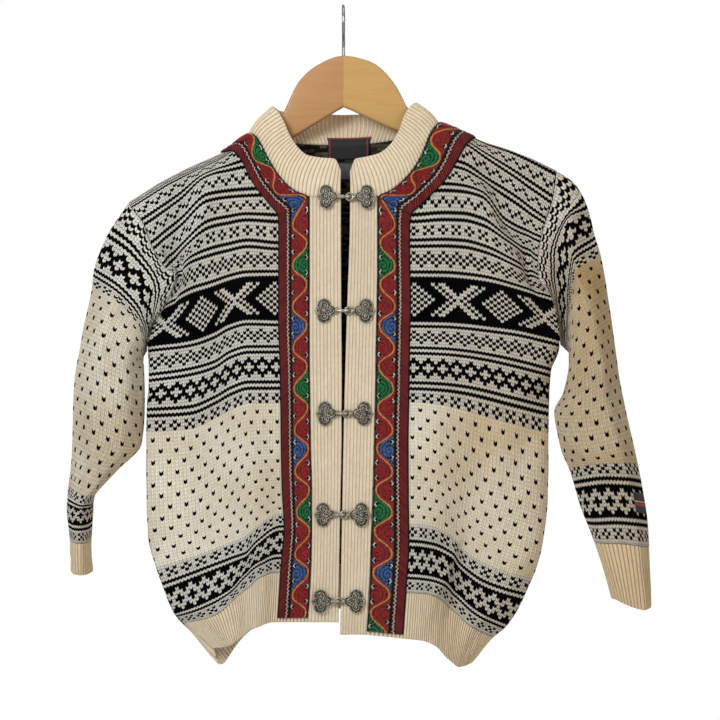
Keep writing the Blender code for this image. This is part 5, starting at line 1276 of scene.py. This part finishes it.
def scroll(cx, cy, start, turns, r0, r1, way, count=26):
    """Flat spiral from radius r0 in to r1."""
    k = np.linspace(0, 1, count)
    a = start + way * 2 * math.pi * turns * k
    r = r0 + (r1 - r0) * k ** 0.85
    return np.column_stack([cx + r * np.cos(a), cy + r * np.sin(a)])


def clasp_part(name, node, centre, frame3, turn, part, reach):
    x, y, z = frame3
    x = x * turn

    def place(q):
        q = np.asarray(q, float)
        return centre + (q[..., 0:1] * x + q[..., 1:2] * y + q[..., 2:3] * z) * MM

    def flat(path, high):
        path = np.asarray(path, float)
        return place(np.column_stack([path, np.full(len(path), high) if np.ndim(high) == 0 else high]))

    m = Build()
    rim = lobed_outline()
    # x mirrors for the eye side, which turns the outline round
    order = slice(None) if turn > 0 else slice(None, None, -1)
    plate(m, lobed_outline(48, -0.5)[order], ((0, 1.0), (0.55, 1.0), (0.7, 0.97)), place, slot=1)
    sweep(m, flat(rim, 0.9), 0.5 * MM, 6, closed=True, up=z)
    twist = np.arange(len(rim))
    for k in twist[::2]:
        bead(m, flat(rim[k:k + 1] * 0.985, 1.35)[0], 0.42 * MM, z)
    for cy, way in ((5.5, 1), (-5.5, -1)):
        sweep(m, flat(scroll(-1.9, cy, -way * 1.2, 1.45, 4.3, 1.3, way), 1.25 + 0.5 * np.linspace(0, 1, 26) ** 2),
              np.linspace(0.62, 0.5, 26) * MM, 6, up=z)
        bead(m, flat([(-1.9, cy)], 1.9)[0], 1.15 * MM, z)
        for a in np.radians((20, 65, 110, 155, 200)):
            bead(m, flat([(-1.9 + 5.35 * math.cos(a), cy + way * 5.35 * math.sin(a))], 1.2)[0], 0.62 * MM, z)
        sweep(m, flat(scroll(2.3, cy * 0.44, way * 2.6, 0.95, 2.2, 0.6, -way, 18), 1.5), 0.5 * MM, 6, up=z)
        sweep(m, flat(scroll(-6.6, cy * 0.38, way * 0.4, 0.9, 1.9, 0.6, way, 16), 1.4), 0.48 * MM, 6, up=z)
        leaf = [(3.0 + 4.6 * k, way * (4.2 - 2.6 * k)) for k in np.linspace(0, 1, 9)]
        sweep(m, flat(leaf, 1.2 + 0.4 * np.sin(np.linspace(0, math.pi, 9))),
              np.array([.3, .5, .62, .66, .6, .55, .5, .42, .35]) * MM, 6, up=z)
    sweep(m, flat(scroll(5.4, 0.0, math.pi, 1.3, 3.1, 1.0, 1, 20), 1.5), 0.5 * MM, 6, up=z)
    bead(m, flat([(5.4, 0.0)], 1.9)[0], 0.95 * MM, z)
    bead(m, flat([(-1.4, 0.0)], 1.9)[0], 1.5 * MM, z)
    ring = 2 * math.pi * np.arange(16) / 16
    sweep(m, flat(np.column_stack([-1.4 + 2.2 * np.cos(ring), 2.2 * np.sin(ring)]), 1.4), 0.42 * MM, 6, closed=True, up=z)
    bead(m, flat([(-10.2, 0.0)], 1.1)[0], 1.15 * MM, z)
    for way in (1, -1):
        sweep(m, flat(scroll(-8.6, way * 2.2, -way * 1.6, 0.8, 1.5, 0.6, -way, 12), 1.0), 0.42 * MM, 6, up=z)
    if part == "eye":
        ring = 2 * math.pi * np.arange(28) / 28
        loop = np.column_stack([EYE_REACH + 3.5 * np.cos(ring), 3.5 * np.sin(ring)])
        sweep(m, flat(loop, 0.9), 1.1 * MM, 8, closed=True, up=z)
        for way in (1, -1):
            sweep(m, flat(scroll(11.0, way * 1.9, way * 2.2, 0.85, 1.7, 0.6, -way, 14), 1.0), 0.45 * MM, 6, up=z)
        sweep(m, flat([(9.0, 0), (10.5, 0), (12.2, 0)], 0.9), 1.4 * MM, 6, up=z)
    else:
        for way in (1, -1):
            sweep(m, flat(scroll(11.0, way * 1.8, way * 2.2, 0.85, 1.7, 0.6, -way, 14), 1.0), 0.45 * MM, 6, up=z)
        k = np.linspace(0, 1, 9)
        bar = [(8.8 + (reach - 9.4) * a, 0.0, 1.2 + 1.4 * a) for a in k]
        bend = [(reach - 0.6 + 1.4 * math.sin(a), 0.0, 1.35 + 1.15 * math.cos(a)) for a in np.linspace(0.3, math.pi * 0.98, 9)]
        path = place(np.array(bar + bend))
        thick = np.concatenate([1.75 + 0.5 * np.cos(np.linspace(0, 4 * math.pi, 9)), np.linspace(1.35, 0.95, 9)])
        sweep(m, path, thick * MM, 8, up=y)
    obj = m.make(name, [PEWTER, PEWTER_DARK], bake=False)
    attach(obj, "root")
    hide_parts(node)
    return obj


def clasp_pair(k, right, left, across_right, across_left, down):
    """Two plates that face each other across the opening, hook in eye."""
    rows = np.linspace(ROW_TOP, ROW_END, 600)
    spots, turned = [], []
    for g, across in ((right, across_right), (left, across_left)):
        line = look_up(g, COL_BAND / 2, rows)
        row = float(np.interp(down, line[:, 1], rows))
        up = world(look_up(g, COL_BAND / 2, row - 2.5)) - world(look_up(g, COL_BAND / 2, row + 2.5))
        wide = world(look_up(g, 0.0, row)) - world(look_up(g, COL_BAND, row))
        normal = unit(np.cross(wide, up))
        turned.append(normal if normal[1] < 0 else -normal)
        spots.append((across, down, look_up(g, COL_BAND / 2, row)[2]))
    z = unit(turned[0] + turned[1])
    x = unit(np.cross(np.array([0, 0, 1.0]), z))
    y = np.cross(z, x)
    deep = max(spots[0][2], spots[1][2])
    reach = across_left - across_right - EYE_REACH
    for part, spot, turn in (("hook", spots[0], 1), ("eye", spots[1], -1)):
        centre = world((spot[0], spot[1], deep)) + z * CLASP_LIFT[k - 1] * MM
        node = "clasp_%d_%s" % (k, part)
        clasp_part(node + "_cast", node, centre, (x, y, z), turn, part, reach)


# --------------------------------------------------------------------------
# hanger
# --------------------------------------------------------------------------
HANGER_THICK, HANGER_ROUND, ARM_BELOW_RIDGE = 12.0, 3.5, 6.4
HOOK_INNER_RADIUS, WIRE_DIAMETER, HOOK_ENTRY = 15.0, 3.3, 10.0
HANGER_RIGHT = ((343.47, 54, 106), (336, 55.2, 110.4), (328, 58, 115.2), (320, 62, 120), (312, 67, 124.9),
                (304, 74, 129.7), (298, 81, 133.4), (292, 92, 137), (287, 103, 140.5), (282, 113, 143.5),
                (274, 121, 148.5), (264, 130, 154), (254, 137.5, 160), (246, 142, 164), (232, 0, 171),
                (216, 0, 179), (196, 0, 189), (178, 0, 198), (168, 0, 203), (163, 187, 204))
HANGER_LEFT = ((343.53, 54, 106), (352, 54.8, 109.5), (360, 56.8, 113.2), (368, 59, 117), (376, 63, 120.8),
               (384, 69.5, 124.5), (391, 77.5, 127.5), (398, 87.5, 130.5), (403, 97, 133), (407, 105, 135.5),
               (415, 114, 139), (425, 122.5, 143.5), (434, 128.5, 147.5), (443, 131.5, 151.5), (456, 0, 157),
               (474, 0, 164), (494, 0, 173), (508, 0, 179), (517, 0, 183), (523, 167, 183))


def hanger_half(name, node, table, side, ridge, mat):
    st = np.array([(a, b if b else ridge(a) + ARM_BELOW_RIDGE, c) for a, b, c in table], float)
    run = np.concatenate([[0], np.cumsum(np.hypot(np.diff(st[:, 0]), np.diff(st[:, 1])))])
    st = pchip(run, st, np.linspace(0, run[-1], 110))
    top, low = st[:, [0, 1]], st[:, [0, 2]]
    mid = 0.5 * (top + low)
    half, rad = HANGER_THICK / 2, HANGER_ROUND
    ring = []
    for edge in (top, low):
        inward = unit(mid - edge)
        angles = np.linspace(0, math.pi, 11)
        if edge is low:
            angles = angles[::-1]
        for a in angles:
            z = (half - rad) * (1 if a <= math.pi / 2 else -1) + rad * math.cos(a)
            pt = edge + inward * rad * (1 - math.sin(a))
            ring.append(np.column_stack([pt, np.full(len(pt), z)]))
    ring = world(np.array(ring)).transpose(1, 0, 2)
    m = Build()
    base = m.add(ring)
    n, w = ring.shape[:2]
    i, j = (x.ravel() for x in np.meshgrid(np.arange(n - 1), np.arange(w), indexing="ij"))
    l = (j + 1) % w
    flip = side < 0
    m.face(base + np.stack([i * w + j, (i + 1) * w + j, (i + 1) * w + l, i * w + l], 1), flip=flip)
    m.face((base + np.arange(w))[None], flip=flip)
    m.face((base + (n - 1) * w + np.arange(w))[None, ::-1], flip=flip)
    obj = m.make(name, [mat], bake=False)
    obj.data.set_sharp_from_angle(angle=math.radians(50))
    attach(obj, "root")
    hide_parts(node)
    return obj


def hook_mesh():
    radius = HOOK_INNER_RADIUS + WIRE_DIAMETER / 2
    top = -HOOK_INNER_RADIUS
    path = []
    for a in np.radians(np.linspace(205, -65, 61)):
        path.append((-radius * math.cos(a), top + radius * math.sin(a)))
    wood_top = BOARD_HOOK - HANGER_LEFT[0][1]
    tail = [path[-1], (-radius * 0.17, top - radius * 1.13), (-0.6, top - radius * 1.32), (0.0, top - radius * 1.6),
            (0.0, wood_top - HOOK_ENTRY * 0.4), (0.0, wood_top - HOOK_ENTRY)]
    run = np.concatenate([[0], np.cumsum(np.linalg.norm(np.diff(tail, axis=0), axis=1))])
    smooth = pchip(run, np.array(tail, float), np.linspace(0, run[-1], 26))
    path = np.array(path[:-1] + [tuple(v) for v in smooth])
    m = Build()
    sweep(m, np.column_stack([np.zeros(len(path)), path]) * MM, WIRE_DIAMETER / 2 * MM, 16, up=np.array([1.0, 0, 0]))
    tip = np.array([0, *path[0]]) * MM
    bead(m, tip, WIRE_DIAMETER / 2 * MM * 1.05, np.array([0, 1.0, 0]), flat=1.0)
    obj = m.make("hook_wire_bent", [STEEL], bake=False)
    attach(obj, "root")
    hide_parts("hook_wire")


# --------------------------------------------------------------------------
# the garment
# --------------------------------------------------------------------------
def declare(obj, node):
    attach(obj, "root")
    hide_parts(node)


# soft creases: from column, row to column, row, half width and height (mm)
FRONT_STROKES_RIGHT = (
    (49, 64, 34, 84, 8, -2.4), (48, 74, 38, 98, 8, 1.8), (46, 58, 32, 66, 6, 1.6), (41, 62, 27, 76, 8, 1.2),
    (44, 96, 37, 126, 10, -1.6), (30, 84, 25, 116, 13, -1.0), (17, 88, 20, 120, 12, 0.9),
    (41, 126, 36, 162, 8, -2.4), (33, 122, 29, 160, 7, 2.0), (25, 128, 22, 164, 6, -1.8), (17, 132, 16, 160, 6, 1.2),
    (12, 20, 20, 34, 10, -0.9), (22, 8, 30, 20, 8, 1.0), (37, 6, 44, 20, 7, -1.4), (46.5, 14, 45, 60, 7, -4.0),
)
FRONT_STROKES_LEFT = (
    (49, 60, 36, 74, 7, -2.6), (49, 72, 33, 88, 8, 2.0), (44, 54, 30, 60, 6, 1.6), (46, 88, 36, 108, 9, -2.0),
    (38, 92, 30, 124, 12, 1.2), (22, 86, 19, 122, 13, -1.0), (48, 108, 43, 140, 9, 1.6),
    (36, 124, 27, 160, 8, -2.6), (28, 122, 20, 158, 7, 2.0), (44, 132, 36, 164, 7, 2.2), (18, 134, 15, 160, 6, -1.2),
    (14, 14, 24, 28, 10, -0.9), (26, 6, 33, 18, 8, 1.0), (42, 4, 47, 18, 6, -1.6), (46, 16, 45, 60, 7, -4.2),
)
BACK_STROKES = (
    (-56, 66, -36, 92, 10, -2.2), (-52, 84, -38, 112, 9, 1.6), (57, 64, 38, 86, 9, -2.4), (50, 86, 36, 118, 11, 1.8),
    (-20, 24, -30, 60, 14, -1.4), (18, 20, 32, 56, 13, 1.2), (-8, 90, 4, 130, 16, -1.2), (20, 96, 26, 136, 13, 1.1),
    (-34, 124, -28, 162, 9, -2.0), (-44, 130, -40, 160, 7, 1.6), (10, 128, 8, 162, 8, 1.4), (40, 126, 33, 164, 9, -2.2),
)
SLEEVE_STROKES_RIGHT = (
    (24.5, 20, 21.5, 56, 10, -3.2), (16.5, 26, 15, 58, 9, 1.4),
    (19.9, 6, 13.8, 24, 7, -2.2), (15.3, 2, 7.6, 16, 6, 1.2), (22.2, 20, 9.2, 34, 6, -2), (20.6, 30, 6.9, 42, 6, 1.8),
    (19.9, 42, 6.1, 50, 5, -1.8), (16.8, 52, 3.1, 60, 6, 1.4), (7.6, 64, 16.8, 78, 7, -1.4), (4.6, 80, 10.7, 94, 6, 1),
    (-19.9, 24, -6.1, 36, 8, -2.2), (-20.6, 38, -7.6, 46, 7, 1.8), (-18.4, 54, -6.1, 64, 7, -1.6), (-7.6, 72, -16.8, 84, 7, 1.2),
)
SLEEVE_STROKES_LEFT = (
    (21.4, 4, 15.3, 22, 6, -2.2), (16.8, 0, 9.2, 14, 6, 1.2), (22.2, 24, 10.7, 34, 6, 1.6), (20.6, 34, 6.9, 44, 7, -2),
    (21.4, 46, 7.6, 52, 5, 1.8), (18.4, 54, 3.8, 62, 6, -2), (15.3, 64, 4.6, 74, 6, 1.5), (9.2, 78, 18.4, 86, 6, -1.1),
    (-20.6, 20, -6.9, 34, 8, 1.8), (-19.9, 40, -5.4, 50, 7, -2.2), (-16.8, 58, -6.1, 70, 8, 1.6), (-9.2, 80, -18.4, 90, 6, -1.2),
)

right, left, back = make_body()
fc = np.arange(COL_BAND, COL_SIDE + 0.01, 0.25)
fr = np.arange(ROW_TOP, ROW_END + 0.01, 0.5)
bc = np.arange(-BACK_HALF, BACK_HALF + 0.01, 0.25)
field_r = Field(look_up(right, fc[None], fr[:, None]), fc, fr, 1, strokes=FRONT_STROKES_RIGHT, seed=1.0)
field_l = Field(look_up(left, fc[None], fr[:, None]), fc, fr, -1, strokes=FRONT_STROKES_LEFT, seed=2.3)
field_b = Field(look_up(back, bc[None], fr[:, None]), bc, fr, 1, strokes=BACK_STROKES, seed=3.1)


def sleeve_field(table, front, side, strokes, seed):
    g = make_sleeve(table, front, back, side)
    fine = np.linspace(0, 1, 801)
    s = np.arange(0, SLEEVE_END + 0.01, 0.5)
    p = look_sleeve(g, fine[None], s[:, None])
    cols = np.arange(-SLEEVE_HALF, SLEEVE_HALF + 0.01, 0.25)
    out = np.zeros((len(s), len(cols), 3))
    step = np.linalg.norm(np.diff(p, axis=1), axis=2)
    for i in range(len(s)):
        run_f = np.concatenate([[0], np.cumsum(step[i, :400])])
        run_b = np.concatenate([[0], np.cumsum(step[i, 400:])])
        share = np.where(cols >= 0, np.interp(cols / SLEEVE_HALF * run_f[-1], run_f, fine[:401]),
                         np.interp((1 + cols / SLEEVE_HALF) * run_b[-1], run_b, fine[400:]))
        out[i] = look_sleeve(g, share, np.full(len(cols), s[i]))
    # columns grow from the front over the outer edge to the back as seen in the grid
    return Field(out, cols, s, side, around=True, strokes=strokes, seed=seed)


sleeve_l = sleeve_field(SLEEVE_LEFT, left, 1, SLEEVE_STROKES_LEFT, 4.2)
sleeve_r = sleeve_field(SLEEVE_RIGHT, right, -1, SLEEVE_STROKES_RIGHT, 5.7)

RIB_START = ROW_RIB + EDGE
declare(knit_panel("front_right_knit", field_r, 0, COL_SIDE, neck_row, ROW_RIB - EDGE, BODY_ROWS), "front_right")
declare(knit_panel("front_left_knit", field_l, 0, COL_SIDE, neck_row, ROW_RIB - EDGE, BODY_ROWS), "front_left")
declare(knit_panel("back_knit", field_b, -BACK_HALF, BACK_HALF, lambda b: back_neck_row(np.abs(b) + COL_BAND),
                   ROW_RIB - EDGE, BODY_ROWS, shift=10), "back")
declare(knit_panel("sleeve_right_knit", sleeve_r, -SLEEVE_HALF, SLEEVE_HALF, lambda c: np.full(np.shape(c), EDGE), SLEEVE_RIB - EDGE,
                   SLEEVE_CHART, around=True, plain=CREAM_ARM_SHADED), "sleeve_right")
declare(knit_panel("sleeve_left_knit", sleeve_l, -SLEEVE_HALF, SLEEVE_HALF, lambda c: np.full(np.shape(c), EDGE), SLEEVE_RIB - EDGE,
                   SLEEVE_CHART, around=True, plain=CREAM_ARM_SHADED), "sleeve_left")

declare(rib_panel("hem_rib_right_knit", field_r, 0.02, COL_SIDE - EDGE, 50, RIB_START, ROW_END, free_end=True),
        "hem_rib_front_right")
declare(rib_panel("hem_rib_left_knit", field_l, 0.02, COL_SIDE - EDGE, 50, RIB_START, ROW_END, free_end=True),
        "hem_rib_front_left")
declare(rib_panel("hem_rib_back_knit", field_b, -BACK_HALF + EDGE, BACK_HALF - EDGE, 119, RIB_START, ROW_END, free_end=True),
        "hem_rib_back")
for name, node, field in (("band_right_knit", "band_right", field_r), ("band_left_knit", "band_left", field_l)):
    declare(rib_panel(name, field, COL_BAND, -EDGE, 9, float(neck_row(0.0)), ROW_END, free_side=0, free_end=True,
                      deep=0.7, mat=BAND),
            node)
for name, node, field in (("cuff_right_knit", "cuff_right", sleeve_r), ("cuff_left_knit", "cuff_left", sleeve_l)):
    declare(rib_panel(name, field, -SLEEVE_HALF, SLEEVE_HALF, 34, SLEEVE_RIB + EDGE, SLEEVE_END, around=True, free_end=True, deep=1.0),
            node)
collar, collar_form = collar_mesh("collar_knit", right, left, back, field_r, field_l, field_b)
declare(collar, "collar")


def trim_stations(table, field, board):
    fine = np.linspace(0, COL_NECK, 400)
    out = []
    for row, c_out, r_out in table:
        c_in = float(np.interp(row, neck_row(fine)[::-1], fine[::-1])) if row < 21.5 else 0.0
        c_in += 0.12
        out.append((c_in, max(row, float(neck_row(c_in))), c_out, r_out))
    for row in np.arange(31, 166.6, 4.5):
        out.append((0.1, row, 9.0, row))
    out.append((0.1, 166.5, 9.0, 166.5))
    return out


for name, node, field, table, side in (("trim_right_woven", "trim_right", field_r, TRIM_RIGHT, 1),
                                       ("trim_left_woven", "trim_left", field_l, TRIM_LEFT, -1)):
    stations = trim_stations(table, field, None)
    st = np.array(stations)
    pin, _ = field.at(st[:, 0], st[:, 1])
    pout, _ = field.at(st[:, 2], st[:, 3])
    mid = 0.5 * (pin + pout)
    run = np.concatenate([[0], np.cumsum(np.linalg.norm(np.diff(mid, axis=0), axis=1))]) * 1000
    down = BOARD_HOOK - mid[:, 2] * 1000
    green = float(np.interp(265.0, down[9:], run[9:]))     # where a green lobe sits
    corner = run[8]

    def s_of(a, green=green):
        return a - green + WAVE / 4

    obj, length = trim_mesh(name, field, stations, s_of, side, mitre=s_of(corner))
    declare(obj, node)

turns = np.sin(np.linspace(-1, 1, 33) * math.pi / 2)
stations = []
for k in np.linspace(-1, 1, 33):
    turn = math.sin(k * math.pi / 2)
    reach = (TRIM_LEFT if k > 0 else TRIM_RIGHT)[0][1] - COL_BAND
    b_in = (COL_NECK - COL_BAND) * turn
    r_in = float(back_neck_row(abs(b_in) + COL_BAND))
    stations.append((b_in, r_in + 0.15, reach * turn, ROW_TOP + BACK_TRIM_DROP * math.cos(k * math.pi / 2) + 0.15))
obj, length = trim_mesh("trim_back_woven", field_b, stations, lambda a: a, -1)
declare(obj, "trim_back")

for k, (across_right, across_left, down) in enumerate(CLASPS, 1):
    clasp_pair(k, right, left, across_right, across_left, down)


def ridge(across):
    g = right if across < BOARD_CENTRE else left
    line = look_up(g, np.linspace(COL_NECK, COL_SIDE, 120), ROW_TOP)
    order = np.argsort(line[:, 0])
    return float(np.interp(across, line[order, 0], line[order, 1]))


# lit and shaded copies of one wood: the pinker half darker as painted shade for the face turned from the light, the
# yellower half lighter as painted light for the face turned towards it
hanger_half("hanger_right_wood", "hanger_half_right", HANGER_RIGHT, -1, ridge,
            wood("wood_pinker_shaded_half", srgb(190, 146, 98), srgb(163, 117, 73), srgb(179, 131, 89)))
hanger_half("hanger_left_wood", "hanger_half_left", HANGER_LEFT, 1, ridge,
            wood("wood_yellower_lit_half", srgb(201, 162, 101), srgb(176, 136, 80), srgb(190, 147, 91)))
hook_mesh()


# --------------------------------------------------------------------------
# labels, all blank
# --------------------------------------------------------------------------
def woven(name, colour, dark, fine=1.6):
    """Flat label cloth: tight warp and weft."""
    g = Graph(name)
    a, b, _ = g.split(g.uv("knit"))
    warp = g.math("ABSOLUTE", g.sub(g.math("FRACT", g.mul(a, fine)), 0.5))
    weft = g.math("ABSOLUTE", g.sub(g.math("FRACT", g.mul(b, fine)), 0.5))
    over = g.math("MAXIMUM", warp, weft)
    cloud = g.noise(g.place(), 500.0, 2.0)
    # darker towards the edges of each thread: painted shade between the threads, with random tone on top
    colour_out = g.mix(g.math("ADD", g.mul(over, 1.1), g.mul(g.range(cloud, 0.3, 0.7, -0.3, 0.3), 1.0), clamp=True),
                       colour, dark)
    g.bump(g.sub(1.0, over), 0.5, 0.0002)
    return g.surface(colour_out, 0.7, sheen=0.15)


NAVY = woven("label_dark", srgb(26, 22, 28), srgb(12, 10, 14))
SCARLET = woven("label_red", srgb(158, 44, 50), srgb(104, 22, 30))
GREY = woven("label_grey", srgb(92, 92, 96), srgb(52, 52, 56))
BONE = woven("label_bone", srgb(220, 212, 196), srgb(176, 166, 150))
LABEL_MATERIALS = [NAVY, SCARLET, GREY, BONE]


def label_mesh(name, node, P, N, near, far, sign, pattern):
    """Label cloth between two distances from a surface; `far` is the face that shows."""
    rows, cols = P.shape[:2]
    wide = float(np.linalg.norm(np.diff(P[rows // 2], axis=0), axis=1).sum()) * 1000
    tall = float(np.linalg.norm(np.diff(P[:, cols // 2], axis=0), axis=1).sum()) * 1000
    v = np.linspace(0, 1, rows)
    u = np.linspace(0, 1, cols)
    edge = np.clip(np.minimum(np.minimum(v, 1 - v)[:, None] * tall, np.minimum(u, 1 - u)[None, :] * wide) / 0.9, 0, 1)
    show = P + N * (far * (0.55 + 0.45 * edge) + near * (0.45 - 0.45 * edge))[..., None] * MM
    hide = P + N * near * MM
    slots = pattern(0.5 * (u[:-1] + u[1:])[None, :] * wide, 0.5 * (v[:-1] + v[1:])[:, None] * tall)
    slots = np.broadcast_to(slots, (rows - 1, cols - 1))
    obj = closed_sheet(name, show, hide, u * wide, v * tall, np.zeros(cols, int), np.full(cols, rows - 1), slots,
                       LABEL_MATERIALS, sign)
    declare(obj, node)


def collar_top_behind(b):
    """Top edge of the collar behind the neck, at back column b."""
    half = COL_NECK - COL_BAND
    share = np.append(column(COLLAR_BACK, 0), 1.0)
    ends = {side: pchip(column(t, 0), np.array([row[1:] for row in t], float), COL_NECK)
            for side, t in ((-1, COLLAR_RIGHT), (1, COLLAR_LEFT))}
    out = []
    for v in b:
        end, k = ends[-1 if v < 0 else 1], abs(v) / half
        out.append((BOARD_CENTRE + (end[0] - BOARD_CENTRE) * math.sin(k * math.pi / 2),
                    pchip(share, np.append(column(COLLAR_BACK, 1), end[1]), k),
                    -pchip(share, np.append(column(COLLAR_BACK, 2), 0.0), k)))
    return np.array(out)


def neck_surface(b, shares, rows):
    """Outside of the neck from the collar down over the back, for inside labels."""
    high = collar_top_behind(b)
    at = back_neck_row(np.abs(b) + COL_BAND)
    low = look_up(back, b, at)
    out = []
    for t in shares:
        line = high + (low - high) * t
        way = unit(0.5 * (low + high)[:, [0, 2]] - np.array([BOARD_CENTRE, 0.0]))
        line[:, 0] += COLLAR_ROLL * math.sin(math.pi * t) * way[:, 0]
        line[:, 2] += COLLAR_ROLL * math.sin(math.pi * t) * way[:, 1]
        out.append(line)
    for r in rows:
        out.append(look_up(back, b, at + r))
    p = world(np.array(out))
    return p, normals(p, 1)


def label_pattern(x, y):
    wide = float(x.max())
    frame = ((y > 1.2) & (y < 2.1)) | (((x > 1.2) & (x < 2.1)) | ((x > wide - 2.1) & (x < wide - 1.2))) & (y > 1.2)
    line = (y > 4.6) & (y < 5.2) & (x > 6) & (x < wide - 6)
    return np.where(frame, 1, np.where(line, 2, 0))


def badge_pattern(x, y):
    return np.where((y > 10.2) & (y < 13.4), 1, np.where((y > 8.9) & (y < 9.7), 3, 0)) + 0 * x.astype(int)


OFF = RIB_WALL + 0.6
b = np.linspace(-4.4, 7.4, 41)
P, N = neck_surface(b, np.linspace(0.835, 0.985, 9), np.linspace(0.0, 3.9, 17))
label_mesh("neck_label_woven", "neck_label", P, N, -OFF, -OFF - LABEL_WALL, -1, label_pattern)
b = np.linspace(-2.4, 5.2, 25)
P, N = neck_surface(b, (), np.linspace(4.75, 9.9, 17))
label_mesh("care_tag_woven", "care_tag", P, N, -OFF, -OFF - LABEL_WALL, -1,
           lambda x, y: np.where((y < 1.2) | (x < 1.0), 0, 2) + 0 * x.astype(int))
shares = np.linspace(0.0122, 0.13, 41)
rows = np.linspace(83.3, 88.7, 27)
badge_cols = shares * 2.0 * SLEEVE_HALF
P, N = sleeve_l.at(badge_cols[None, :], rows[:, None])
label_mesh("sleeve_badge_woven", "sleeve_badge", P, N, 0.6, 0.6 + LABEL_WALL, sleeve_l.sign, badge_pattern)


# --------------------------------------------------------------------------
# floor, light and camera
# --------------------------------------------------------------------------
def stage():
    bpy.ops.mesh.primitive_plane_add(size=6.0, location=(0, 0, -1.25))
    floor = bpy.context.object
    floor.name = "floor_plain"
    g = Graph("floor_pale")
    cloud = g.noise(g.place(), 2.0, 2.0)
    floor.data.materials.append(g.surface(g.mix(cloud, srgb(226, 225, 222), srgb(236, 235, 232)), 0.85))

    w = bpy.data.worlds.new("studio")
    bpy.context.scene.world = w
    w.use_nodes = True
    t = w.node_tree
    t.nodes.clear()
    out = t.nodes.new("ShaderNodeOutputWorld")
    soft, show = t.nodes.new("ShaderNodeBackground"), t.nodes.new("ShaderNodeBackground")
    soft.inputs["Color"].default_value = (1.0, 0.985, 0.96, 1.0)
    soft.inputs["Strength"].default_value = AMBIENT
    show.inputs["Color"].default_value = (1.0, 1.0, 1.0, 1.0)
    show.inputs["Strength"].default_value = 1.0
    ray, mix = t.nodes.new("ShaderNodeLightPath"), t.nodes.new("ShaderNodeMixShader")
    t.links.new(ray.outputs["Is Camera Ray"], mix.inputs[0])
    t.links.new(soft.outputs[0], mix.inputs[1])
    t.links.new(show.outputs[0], mix.inputs[2])
    t.links.new(mix.outputs[0], out.inputs[0])

    for name, at, size, power, colour in LAMPS:
        lamp = bpy.data.lights.new(name, "AREA")
        lamp.size = size
        lamp.energy = power
        lamp.color = colour
        obj = bpy.data.objects.new(name, lamp)
        bpy.context.scene.collection.objects.link(obj)
        obj.location = at
        aim = np.array((0.0, 0.0, -0.33)) - np.array(at)
        from mathutils import Vector
        obj.rotation_mode = "QUATERNION"
        obj.rotation_quaternion = Vector(aim).to_track_quat("-Z", "Y")

    cam = bpy.data.cameras.new("camera")
    cam.lens = 179.0
    cam.sensor_width = 36.0
    cam.clip_end = 50.0
    obj = bpy.data.objects.new("camera", cam)
    bpy.context.scene.collection.objects.link(obj)
    obj.location = (0.0165, -3.6, -0.355)
    obj.rotation_euler = (math.radians(90), 0, 0)
    bpy.context.scene.camera = obj
    bpy.context.scene.view_settings.view_transform = "Standard"


AMBIENT = 0.32
LAMPS = (
    ("key_cool", (-1.15, -1.9, 0.6), 0.9, 40.0, (0.93, 0.97, 1.0)),
    ("fill_warm", (2.2, -2.4, 0.3), 1.6, 20.0, (1.0, 0.86, 0.66)),
    ("top_soft", (0.0, -0.6, 2.0), 1.4, 12.0, (1.0, 0.98, 0.95)),
    ("back_soft", (0.4, 2.8, 0.8), 2.0, 40.0, (1.0, 0.98, 0.95)),
)
stage()
